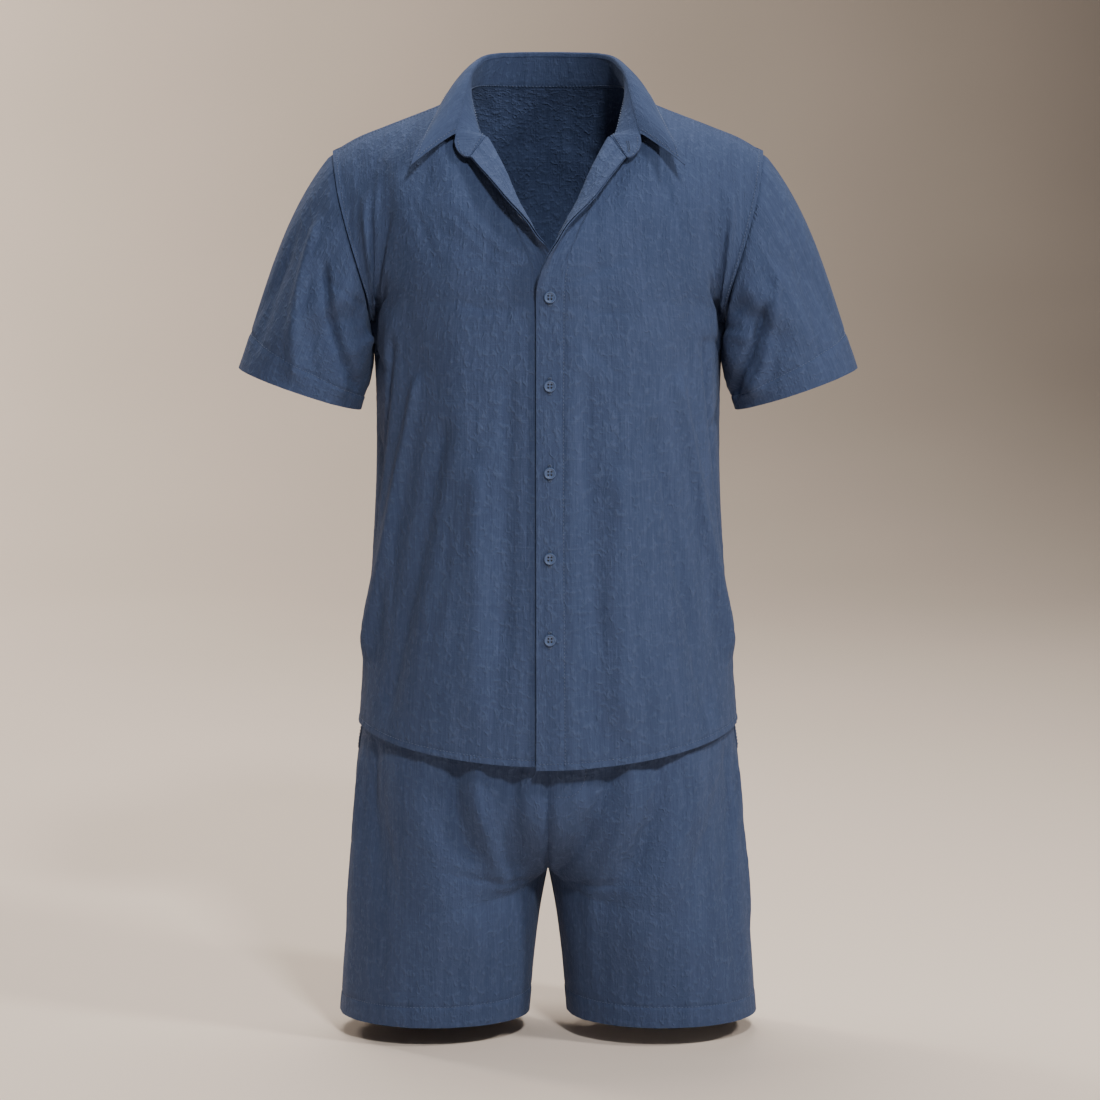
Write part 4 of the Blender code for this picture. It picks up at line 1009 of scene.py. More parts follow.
    sleeve_creases: tuple[Fold, ...] = folds(
        (0.42, 0.10, 0.30, 0.50, 0.0050, -0.0023), (0.40, 0.05, 0.24, 0.30, 0.0045, -0.0021),
        (0.20, 0.18, 0.19, 0.66, 0.0055, 0.0018), (0.26, 0.50, 0.33, 0.90, 0.0060, -0.0020),
        (0.12, 0.40, 0.05, 0.86, 0.0060, -0.0017), (0.58, 0.10, 0.72, 0.46, 0.0050, -0.0023),
        (0.70, 0.48, 0.62, 0.90, 0.0060, -0.0020), (0.84, 0.30, 0.92, 0.78, 0.0060, 0.0016),
    )
    left_sleeve_folds: tuple[Fold, ...] = folds(
        (0.26, 0.36, 0.47, 0.86, 0.0081, -0.0081), (0.19, 0.30, 0.38, 0.92, 0.0081, 0.0047),
        (0.12, 0.34, 0.16, 0.94, 0.0108, -0.0038), (0.40, 0.22, 0.31, 0.48, 0.0072, 0.0034),
    )
    right_sleeve_folds: tuple[Fold, ...] = folds(
        (0.11, 0.16, 0.24, 0.94, 0.0072, 0.0060), (0.19, 0.24, 0.42, 0.82, 0.0090, -0.0075),
        (0.42, 0.20, 0.32, 0.66, 0.0072, 0.0039), (0.06, 0.30, 0.10, 0.92, 0.0090, -0.0030),
    )
    body_folds: tuple[Fold, ...] = folds(
        (0.50, 0.52, 0.84, 0.10, 0.0093, 0.0074), (0.62, 0.58, 0.92, 0.20, 0.0085, -0.0071),
        (0.38, 0.46, 0.62, 0.02, 0.0110, -0.0061), (0.97, 0.56, 0.66, 0.68, 0.0085, -0.0071),
        (0.97, 0.60, 0.78, 0.86, 0.0093, 0.0055), (0.26, 0.40, 0.24, 0.04, 0.0102, 0.0042),
        (0.14, 0.52, 0.16, 0.14, 0.0085, -0.0032), (0.90, 0.60, 0.60, 0.80, 0.0085, -0.0046),
    )
    cuff_centre: Triple = (0.2593, -0.0030, -0.2960)
    cuff_across: Triple = (0.946, 0.0, 0.324)
    cuff_half_width: float = 0.0668
    underarm_fullness: float = 0.0075
    cuff_half_depth: float = 0.0625
    cap_way: Triple = (0.65, 0.0, -0.76)
    underarm_way: Triple = (0.27, 0.0, -0.96)
    sleeve_way: Triple = (0.335, 0.0, -0.942)
    shoulder_joint: Triple = (0.150, 0.0, -0.130)
    sleeve_size: Size = (0.41, 0.20)
    sleeve_fall: float = 0.135
    head_fall: float = 0.15
    strip_columns: int = 14
    strip_spread: float = 0.014
    plain_rise: float = 0.485
    yoke_rise: float = 0.215
    yoke_steps: int = 13
    hem_stitch: float = 0.0062
    placket_stitch: float = 0.026
    armhole_stitch: float = 0.0055
    sleeve_stitch: float = 0.021

    def trunk(self, angle: Array, z: Array, half: Half) -> Array:
        """Point of the trunk: angle 0 at the centre line, a quarter turn at the side seam.

        Args:
            angle: radians from the centre line.
            z: height.
            half: front or back.

        Returns:
            The points.
        """
        width, depth = np.moveaxis(self.trunk_sizes.at(("half_width", half.word), z), -1, 0)
        fuller = 1 + self.fullness * np.sin(2 * angle) ** 2
        x = width * np.sin(angle) * fuller
        return np.stack((x, half.value * depth * np.cos(angle) * fuller, z + 0 * x), axis=-1)

    def armhole(self, along: Array, half: Half) -> Array:
        """Point of the armhole's edge, from the armpit to the shoulder point."""
        x, depth, z = np.moveaxis(self.armhole_sizes.at(("x", half.word, "z"), along), -1, 0)
        return np.stack((x, half.value * depth, z), axis=-1)

    def top_edge(self, share: Array, half: Half) -> Array:
        """Point of a panel's top edge: shoulder seam, and on the back the neckline before it.

        Args:
            share: share across the panel.
            half: front or back.

        Returns:
            The points.
        """
        if half is Half.FRONT:
            return self.shoulder_sizes.at(("x", "y", "z"), share)
        on_neck = self.neck_back.at(("x", "y", "z"), share / self.back_neck_share)
        on_seam = (share - self.back_neck_share) / (1 - self.back_neck_share)
        on_shoulder = self.shoulder_sizes.at(("x", "y", "z"), on_seam)
        return np.where((share < self.back_neck_share)[..., None], on_neck, on_shoulder)

    def inner_edge(self, rise: Array) -> Array:
        """Point of a front's edge above the first button: its roll line, then its neckline.

        Args:
            rise: share of the way up from the first button.

        Returns:
            The points.
        """
        on_roll = self.roll_sizes.at(("x", "y", "z"), rise / self.roll_share)
        on_neck = self.neck_front.at(("x", "y", "z"), (rise - self.roll_share) / (1 - self.roll_share))
        return np.where((rise < self.roll_share)[..., None], on_roll, on_neck)

    def chest_point(self, share: Array, half: Half) -> Array:
        """Point of the line round the chest, from the centre line to the armpit."""
        front_z = self.chest_front_z + (self.armpit_z - self.chest_front_z) * share**2
        return self.trunk(share * math.pi / 2, front_z, half)

    def yoke_curve(self, share: Array, rise: Array, half: Half) -> Array:
        """Smooth rise from the chest line to the top edge.

        Args:
            share: share across the panel.
            rise: share of the way up from the chest line.
            half: front or back.

        Returns:
            The points.
        """
        bottom, top = self.chest_point(share, half), self.top_edge(share, half)
        lift = np.array((0.0, 0.0, 0.078))
        if half is Half.FRONT:
            lift = lift + np.array((0.030, 0.008, 0.0)) * ((1 - share) ** 2)[..., None]
            to_shoulder = ease(0.0, 0.30, share)[..., None]
            neck_way = unit(np.array((0.14, 0.60, 0.78)))
        else:
            to_shoulder = ease(0.15, 0.42, share)[..., None]
            neck_way = unit(np.array((-0.04, -0.55, 0.84)))
        shoulder_way = unit(np.array((0.0, -half.value * 0.97, 0.24)))
        top_way = neck_way + (shoulder_way - neck_way) * to_shoulder
        return bezier(bottom, bottom + lift, top - top_way * (0.050 + 0.012 * to_shoulder), top, rise)

    def yoke_point(self, share: Array, rise: Array, half: Half) -> Array:
        """Point above the chest line, with the armhole and a front's own edge as its sides.

        Args:
            share: share across the panel.
            rise: share of the way up from the chest line.
            half: front or back.

        Returns:
            The points.
        """
        points = self.yoke_curve(share, rise, half)
        outer = self.armhole(rise, half) - self.yoke_curve(np.ones_like(share), rise, half)
        points = points + outer * (share**3)[..., None]
        if half is Half.FRONT:
            inner = self.inner_edge(rise) - self.yoke_curve(np.zeros_like(share), rise, half)
            points = points + inner * ((1 - share) ** 3)[..., None]
        return points

    def panel_point(self, share: Array, up: Array, half: Half, hem_z: float) -> Array:
        """Smooth form of a panel: share across it, up from the hem to the top edge.

        Args:
            share: share across the panel.
            up: share up the panel.
            half: front or back.
            hem_z: the hem's height on the centre line.

        Returns:
            The points.
        """
        share = np.clip(share, 0.0, 1.0)
        angle = share * math.pi / 2
        hem = hem_z + (self.hem_side_z - hem_z) * np.sin(angle) ** 2
        chest = self.chest_point(share, half)
        low = np.clip(up / self.lower_share, 0.0, 1.0)
        lower = self.trunk(angle, hem + (chest[..., 2] - hem) * low, half)
        rise = np.clip((up - self.lower_share) / (1 - self.lower_share), 0.0, 1.0)
        return np.where((up <= self.lower_share)[..., None], lower, self.yoke_point(share, rise, half))

    def front_main(self, share: Array, up: Array, over: bool) -> Array:
        """Outer face of a left front, from its roll line to the side; over says it laps the other.

        Args:
            share: share across the panel.
            up: share up the panel.
            over: whether it laps the other front.

        Returns:
            The points.
        """
        hem_z = self.hem_centre_z + (0.0 if over else self.under_hem_rise)

        def form(across: Array, height: Array) -> Array:
            """The front without its folds.

            Args:
                across: share across the panel.
                height: share up the panel.

            Returns:
                The points.
            """
            points = self.panel_point(across, height, Half.FRONT, hem_z)
            if over:
                near = 1 - ease(0.022, 0.056, points[..., 0])
                lapped = 1 - ease(-0.140, -0.095, points[..., 2])
                opened = 1 + 0.6 * ease(-0.225, -0.185, points[..., 2])
                points = points - np.array((0.0, self.overlap_raise, 0.0)) * (near * lapped * opened)[..., None]
            return points

        edges = ease(0.07, 0.20, share) * ease(0.0, 0.08, 1 - share) * ease(0.0, 0.10, 1 - up)
        lift = fold_height(share, up, self.front_folds, self.size) * edges
        inside = np.clip(share, 0.002, 0.998), np.clip(up, 0.002, 0.998)
        return form(share, up) + normals_of(form, *inside) * lift[..., None]

    def front_strip(self, turn: Array, up: Array, over: bool) -> Array:
        """The cloth beyond the roll line: turn 0 on the line, 1 at the free edge.

        Args:
            turn: share from the line to the free edge.
            up: share up the panel.
            over: whether it laps the other front.

        Returns:
            The points.
        """
        per_along = self.roll_share * (1 - self.lower_share)
        which = "over" if over else "under"
        at = (up - self.lower_share) / per_along
        lean, width = np.moveaxis(self.roll_sizes.at(("lean", f"{which}_turned"), at), -1, 0)
        beyond = turn * width
        up = np.clip(up - lean * beyond / self.roll_length * per_along, 0.0, 1.0)
        degrees = self.roll_sizes.one(f"{which}_angle", (up - self.lower_share) / per_along)
        angle = np.radians(np.maximum(degrees, 0.0))
        on_line = np.zeros_like(up)
        step = 2e-3
        here = self.front_main(on_line, up, over)
        low, high = np.clip(up - step, 0, 1), np.clip(up + step, 0, 1)
        along = unit(self.front_main(on_line, high, over) - self.front_main(on_line, low, over))
        out = self.front_main(on_line + 0.02, up, over) - here
        out = unit(out - along * (out * along).sum(-1, keepdims=True))
        face = np.cross(out, along)
        bent = np.minimum(beyond, self.roll_radius * angle)
        straight = beyond - bent
        at = bent / self.roll_radius
        back = -self.roll_radius * np.sin(at) - straight * np.cos(angle)
        forward = self.roll_radius * (1 - np.cos(at)) + straight * np.sin(angle)
        return here + out * back[..., None] + face * forward[..., None]

    def front_point(self, column: Array, up: Array, over: bool) -> Array:
        """Outer face of a left front: column -1 at the free edge, 0 on the roll line, 1 at the side.

        Args:
            column: place across.
            up: share up the panel.
            over: whether it laps the other front.

        Returns:
            The points.
        """
        main = self.front_main(np.clip(column, 0.0, 1.0), up, over)
        strip = self.front_strip(np.clip(-column, 0.0, 1.0), up, over)
        return np.where((column >= 0)[..., None], main, strip)

    def back_point(self, column: Array, up: Array) -> Array:
        """Outer face of the back: column 1 at the left side seam, -1 at the right one.

        Args:
            column: place across.
            up: share up the panel.

        Returns:
            The points.
        """
        side = np.where(column < 0, -1.0, 1.0)

        def form(across: Array, height: Array) -> Array:
            """The back's left half without its folds."""
            return self.panel_point(across, height, Half.BACK, self.hem_back_z)

        share = np.abs(column)
        lift = fold_height(share, up, self.back_folds, self.size)
        lift = lift * ease(0.0, 0.08, 1 - share) * ease(0.0, 0.10, 1 - up)
        inside = np.clip(share, 0.002, 0.998), np.clip(up, 0.002, 0.998)
        points = form(share, up) - normals_of(form, *inside) * lift[..., None]
        return points * np.stack((side, np.ones_like(side), np.ones_like(side)), axis=-1)

    def sleeve_point(self, around: Array, down: Array) -> Array:
        """Outer face of the left sleeve: around 0 at the shoulder point, a half at the armpit.

        Args:
            around: share round the sleeve.
            down: share from the armhole to the hem.

        Returns:
            The points.
        """

        def form(turn: Array, out: Array) -> Array:
            """The sleeve without its folds.

            Args:
                turn: share round the sleeve.
                out: share from the armhole to the hem.

            Returns:
                The points.
            """
            turn = turn % 1.0
            front, back = self.armhole(1 - 2 * turn, Half.FRONT), self.armhole(2 * turn - 1, Half.BACK)
            start = np.where((turn <= 0.5)[..., None], front, back)
            angle = turn * 2 * math.pi
            across = np.cos(angle)[..., None] * np.array(self.cuff_across) * self.cuff_half_width
            deep = np.sin(angle)[..., None] * np.array((0.0, -self.cuff_half_depth, 0.0))
            end = np.array(self.cuff_centre) + across + deep
            top = ((1 + np.cos(angle)) / 2)[..., None]
            bulge = np.sin(angle)[..., None] * np.array((0.0, -0.16, 0.0))
            cap, under = np.array(self.cap_way), np.array(self.underarm_way)
            leave = unit(under + (cap - under) * top + bulge)
            reach = 0.34 * np.linalg.norm(end - start, axis=-1, keepdims=True)
            return bezier(start, start + leave * reach, end - np.array(self.sleeve_way) * reach, end, out)

        lift = fold_height(around, down, self.sleeve_folds, self.sleeve_size)
        lift = lift * ease(0.0, 0.12, down) * ease(0.0, 0.04, around) * ease(0.0, 0.04, 1 - around)
        normals = -normals_of(form, around, np.clip(down, 0.01, 0.99))
        return form(around, down) + normals * lift[..., None]

    def rows(self) -> Array:
        """The lines up a panel, close together at the hem's stitching.

        Returns:
            Shares up the panel.
        """
        stitch = self.hem_stitch / self.size[1]
        near = (stitch * 0.75, stitch, stitch * 1.25, stitch * 1.6)
        lower = spaced(0.0, self.lower_share, self.plain_rise, self.spacing, near)
        return np.concatenate((lower, spaced(self.lower_share, 1.0, self.yoke_rise, self.spacing)[1:]))

    def edge_ways(self, panel: Panel, columns: Sequence[int]) -> None:
        """Sets the wall's way at the side seam and the armhole: level, then to the arm's joint.

        Args:
            panel: the panel.
            columns: its columns at the side.
        """
        low = np.searchsorted(panel.up, self.lower_share)
        for column in columns:
            side = np.sign(panel.points[0, column, 0])
            panel.inward[:low, column] = (-side, 0.0, 0.0)
            joint = np.array(self.shoulder_joint) * np.array((side, 1.0, 1.0))
            panel.inward[low:, column] = unit(joint - panel.points[low:, column])

    def seam_relief(self, from_side: Array, up: Array, walked: Array) -> Array:
        """The lift beside the side seam and the armhole: a lapped edge above the armpit, and puckers.

        Args:
            from_side: metres from the side.
            up: share up the panel.
            walked: metres up the panel.

        Returns:
            The lift at each place.
        """
        above = ease(self.lower_share, self.lower_share + 0.03, up)
        stitch = bump(self.armhole_stitch, 0.0016, from_side)
        lapped = 0.0012 * (1 - ease(0.006, 0.009, from_side)) * above - 0.0008 * stitch * above
        waves = 0.00035 * puckers(walked, 0.011, 0.037, 1.0)
        return lapped + waves * bump(self.armhole_stitch, 0.006, from_side) * (0.35 + 0.65 * above)

    def hem_relief(self, above_hem: Array, along: Array) -> Array:
        """The lift of a narrow turned hem, with puckers along its stitching.

        Args:
            above_hem: metres above the hem.
            along: metres along it.

        Returns:
            The lift at each place.
        """
        turned = 0.0004 * (1 - ease(self.hem_stitch, self.hem_stitch + 0.002, above_hem))
        stitch = -0.0008 * bump(self.hem_stitch, 0.0016, above_hem)
        waves = 0.0004 * puckers(along, 0.014, 0.061)
        return turned + stitch + waves * bump(self.hem_stitch, 0.010, above_hem)

    def straight_grain(self, panel: Panel, around: Array) -> Array:
        """Where each point lies across the cloth: round the trunk below, straight up above the armpit.

        Args:
            panel: the panel.
            around: metres from the centre line, level round the trunk.

        Returns:
            The metres along the weft.
        """
        upright = 0.21 * np.arcsin(np.clip(panel.points[..., 0] / 0.235, -0.98, 0.98))
        above = ease(0.50, 0.72, panel.up)[:, None] * (np.abs(around) > 0.012)
        return around + (upright * (0.235 / 0.21) - around) * above

    def make_front(self, side: Side) -> Panel:
        """One front with its relief; the left one laps over the right one.

        Args:
            side: the wearer's side.

        Returns:
            The panel.
        """
        over = side is Side.LEFT
        stitch = (self.placket_stitch - 0.012) / self.size[0]
        near = (stitch - 0.007, stitch - 0.003, stitch, stitch + 0.003, stitch + 0.007)
        folded = np.linspace(-1, 0, self.strip_columns + 1)[:-1]
        columns = np.concatenate((folded, spaced(0, 1, self.size[0], self.spacing, near)))
        column, up = np.meshgrid(columns, self.rows())
        points = self.front_point(column, up, over)
        panel = Panel(f"front_{side.word}", columns, self.rows(), points, self.size)
        strip = self.strip_columns
        top = np.searchsorted(panel.up, self.lower_share + self.roll_share * (1 - self.lower_share))
        outward = panel.normals()
        outward[:, strip:] = grid_normals(points[:, strip:])
        on_main = ease(0.0, 0.05, column)
        x, y = np.where(column < 0, column * self.strip_spread, column * self.size[0]), up * self.size[1]
        calm = (0.25 + 0.75 * ease(0.03, 0.12, column)) * (0.3 + 0.7 * ease(0.0, 0.03, 1 - column))
        calm = calm * ease(0.0, 0.05, 1 - up) * on_main
        creases = self.left_creases if over else self.right_creases
        relief = Crumple(3 if over else 4).height(x, y) * calm
        relief = relief + crease_height(column, up, creases, self.size) * calm
        relief = relief + fold_height(column, up, self.body_folds, self.size) * calm
        relief = relief + self.seam_relief((1 - column) * self.size[0], up, y)
        relief = relief + self.hem_relief(y, x) * (0.3 + 0.7 * on_main)
        if over:
            fade = 1 - ease(self.lower_share + 0.02, self.lower_share + 0.06, up)
            edge = (column - stitch) * self.size[0]
            waves = puckers(y, 0.017, 0.090, 0.6)
            groove = -0.0009 * bump(0.0, 0.0016, edge) + 0.00045 * waves * bump(0.0, 0.007, edge)
            relief = relief + groove * fade
        else:
            below = 1 - ease(self.lower_share - 0.1, self.lower_share, up)
            relief = relief - 0.0026 * bump(0.0012, 0.0050, column * self.size[0]) * below
        panel.lift(relief, outward)
        panel.points[: np.searchsorted(panel.up, self.lower_share) + 1, -1, 1] = 0.0
        panel.inward = -panel.normals()
        panel.inward[:, strip:] = -grid_normals(panel.points[:, strip:])
        ways = -grid_normals(panel.points[: top + 1])
        panel.inward[: top + 1, : strip + 1] = ways[:, : strip + 1]
        panel.inward[-1, strip:] = unit(np.array((0.0, 0.0, -1.0)) + panel.inward[-1, strip:] * 0.3)
        panel.inward[-1, strip] = unit(np.array((-1.0, 0.0, -0.25)))
        self.edge_ways(panel, (-1,))
        panel.missing = np.zeros((len(panel.up), len(columns)), bool)[:-1]
        panel.missing[top:, :strip] = True
        panel.weft = self.straight_grain(panel, x)
        return panel if over else panel.mirrored(panel.name)

    def make_facing(self, front: Panel, side: Side) -> Panel:
        """The turned-in strip behind a front's free edge, from the front's own points.

        Args:
            front: the front.
            side: the wearer's side.

        Returns:
            The facing's panel.
        """
        which = "over_turned" if side is Side.LEFT else "under_turned"
        along = (front.up - self.lower_share) / (1 - self.lower_share) / self.roll_share
        kept = along <= 1.0 + 1e-6
        widths = self.roll_sizes.one(which, along[kept])
        distance = np.linspace(0.0, self.facing_width, 13)
        beyond = -1 + distance[None, :] / widths[:, None]
        on_main = (distance[None, :] - widths[:, None]) / self.size[0]
        column = np.where(beyond < 0, beyond, on_main)
        up = np.broadcast_to(front.up[kept][:, None], column.shape)
        inward = unit(front.spot(column, up, front.inward))
        gap = (0.0004 * (1 + ease(0.1, 0.4, along[kept])))[:, None, None]
        points = front.spot(column, up) + inward * (self.kit.wall + gap + 0.0003)
        points[0] += (points[1] - points[0]) * 0.3
        points[-1] += (points[-2] - points[-1]) * 0.3
        size = (self.facing_width, self.size[1])
        panel = Panel(f"facing_{side.word}", distance / self.facing_width, front.up[kept], points, size)
        panel.inward = inward
        return panel

    def make_back(self) -> Panel:
        """The back, one piece from side seam to side seam.

        Returns:
            The panel.
        """
        neck = spaced(0.0, self.back_neck_share, 0.10, self.spacing)
        half = np.concatenate((neck, spaced(self.back_neck_share, 1.0, 0.16, self.spacing)[1:]))
        columns = np.concatenate((-half[:0:-1], half))[::-1]
        column, up = np.meshgrid(columns, self.rows())
        panel = Panel("back", columns, self.rows(), self.back_point(column, up), self.size)
        x, y = column * self.size[0], up * self.size[1]
        share = np.abs(column)
        calm = (0.3 + 0.7 * ease(0.0, 0.03, 1 - share)) * ease(0.0, 0.05, 1 - up)
        relief = Crumple(7).height(x, y) * calm + crease_height(column, up, self.back_creases, self.size) * calm
        relief = relief + fold_height(share, up, self.body_folds, self.size) * calm
        relief = relief + self.seam_relief((1 - share) * self.size[0], up, y) + self.hem_relief(y, x)
        panel.lift(relief, panel.normals())
        low = np.searchsorted(panel.up, self.lower_share)
        panel.points[: low + 1, [0, -1], 1] = 0.0
        panel.weft = self.straight_grain(panel, x)
        shoulder = share[0] >= self.back_neck_share - 1e-9
        panel.inward = -panel.normals()
        panel.inward[-1, shoulder] = unit(np.array((0.0, 0.0, -1.0)) + panel.inward[-1, shoulder] * 0.3)
        self.edge_ways(panel, (0, -1))
        return panel

    def make_sleeve(self, side: Side) -> Panel:
        """One short sleeve, a tube from the armhole to its hem.

        Args:
            side: the wearer's side.

        Returns:
            The panel.
        """
        turns = spaced(0.0, 1.0, self.sleeve_size[0], self.spacing, (0.5,))[:-1]
        stitch = 1 - self.sleeve_stitch / self.sleeve_fall
        near = (stitch - 0.018, stitch - 0.008, stitch, stitch + 0.008, stitch + 0.018)
        downs = spaced(0.0, 1.0, 0.19, self.spacing, near)
        around, down = np.meshgrid(turns, downs)
        points = self.sleeve_point(around, down)
        panel = Panel(f"sleeve_{side.word}", turns, downs, points, self.sleeve_size, True)
        x, y = around * self.sleeve_size[0], down * self.sleeve_size[1]
        calm = ease(0.0, 0.06, down) * ease(0.0, 0.02, np.minimum(around, 1 - around))
        seed = 11 if side is Side.LEFT else 12
        relief = Crumple(seed).height(x, y) * calm
        shift, own = (0.0, self.left_sleeve_folds) if side is Side.LEFT else (0.03, self.right_sleeve_folds)
        relief = relief + crease_height(around + shift, down, self.sleeve_creases, self.sleeve_size) * calm
        behind = tuple(fold._replace(from_across=1 - fold.from_across, to_across=1 - fold.to_across)
                       for fold in own)
        relief = relief + fold_height(around, down, own + behind, self.sleeve_size) * calm
        below = (down - stitch) * self.sleeve_fall
        waves = puckers(x, 0.013, 0.071)
        relief = relief + 0.0004 * ease(-0.001, 0.001, below) - 0.0010 * bump(0.0, 0.0016, below)
        relief = relief + 0.0004 * waves * bump(0.0, 0.008, below)
        from_head = down * self.head_fall
        first = 0.0005 * np.sin(x * 2 * math.pi / 0.010) * bump(0.0, 0.006, from_head) * ease(0.0, 0.02, down)
        first = first - 0.0026 * (1 - ease(0.0, 0.0045, from_head))
        full = bump(0.5, 0.13, around) * bump(0.42, 0.36, down)
        full = full * ease(0.0, 0.2, down) * (1 - ease(0.7, 1.0, down))
        relief = relief + self.underarm_fullness * full
        panel.lift(relief + first, panel.normals())
        panel.inward = -panel.normals()
        panel.inward[0] = unit(np.array(self.shoulder_joint) - panel.points[0])
        return panel if side is Side.LEFT else panel.mirrored(panel.name)

    def sew_front(self, panel: Panel, side: Side) -> None:
        """The rows of stitches on a front.

        Args:
            panel: the front.
            side: the wearer's side.
        """
        steps = np.linspace(0.0, 1.0, 260)
        hem = self.hem_stitch / self.size[1]
        self.kit.shirt_thread.on(panel, -0.9 + 1.88 * steps, hem + 0 * steps)
        rise = self.lower_share + (1 - self.lower_share) * steps
        inset = self.armhole_stitch / self.size[0]
        self.kit.shirt_thread.on(panel, 1 - inset * (1 + 0.25 * steps), np.clip(rise, 0, 0.996))
        self.kit.shirt_thread.on(panel, 0.02 + 0.95 * steps, 1 - 0.010 + 0 * steps)
        if side is Side.LEFT:
            up = 0.004 + (self.lower_share + 0.05) * steps
            self.kit.shirt_thread.on(panel, (self.placket_stitch - 0.012) / self.size[0] + 0 * steps, up)

    def sew_back(self, panel: Panel) -> None:
        """The rows of stitches on the back.

        Args:
            panel: the back.
        """
        steps = np.linspace(0.0, 1.0, 400)
        flipped = Panel("", panel.across[::-1], panel.up, panel.points[:, ::-1], panel.size)
        flipped.inward = panel.inward[:, ::-1]
        self.kit.shirt_thread.on(flipped, -0.98 + 1.96 * steps, self.hem_stitch / self.size[1] + 0 * steps)
        rise = np.clip(self.lower_share + (1 - self.lower_share) * steps, 0, 0.996)
        inset = self.armhole_stitch / self.size[0]
        for way in (-1, 1):
            self.kit.shirt_thread.on(flipped, way * (1 - inset * (1 + 0.3 * steps)), rise)

    def sew_sleeve(self, panel: Panel) -> None:
        """The row of stitches above a sleeve's hem.

        Args:
            panel: the sleeve.
        """
        points = np.concatenate((panel.points, panel.points[:, :1]), axis=1)
        ways = np.concatenate((panel.inward, panel.inward[:, :1]), axis=1)
        ring = Panel("", np.append(panel.across, 1.0), panel.up, points, panel.size, False, ways)
        steps = np.linspace(0.0, 1.0, 300)
        self.kit.shirt_thread.on(ring, steps, 1 - self.sleeve_stitch / self.sleeve_fall + 0 * steps)

    def build(self) -> Panel:
        """Builds the panels.

        Returns:
            The left front, which carries the buttonholes.
        """
        kit = self.kit
        cloth = kit.cloth
        back = self.make_back()
        kit.sheet(back.shell(kit.wall, cloth, kit.linen.slot), (0.57, 0.74), Held.HUNG, "shirt_back", 0.354)
        self.sew_back(back)
        fronts = {}
        for side in Side:
            front = self.make_front(side)
            fronts[side] = front
            piece = front.shell(kit.wall, cloth, kit.linen.slot)
            kit.sheet(piece, (0.29, 0.75), Held.HUNG, f"shirt_front_{side.word}", 0.176)
            self.sew_front(front, side)
            facing = self.make_facing(front, side).shell(kit.wall * 0.8, cloth, kit.linen.slot)
            kit.sheet(facing, (0.034, 0.67), Held.FOLDED, f"shirt_facing_{side.word}", 0.0202)
            sleeve = self.make_sleeve(side)
            piece = sleeve.shell(kit.wall, cloth, kit.linen.slot)
            kit.sheet(piece, (0.51, 0.25), Held.HUNG, f"shirt_sleeve_{side.word}", 0.073)
            self.sew_sleeve(sleeve)
        return fronts[Side.LEFT]


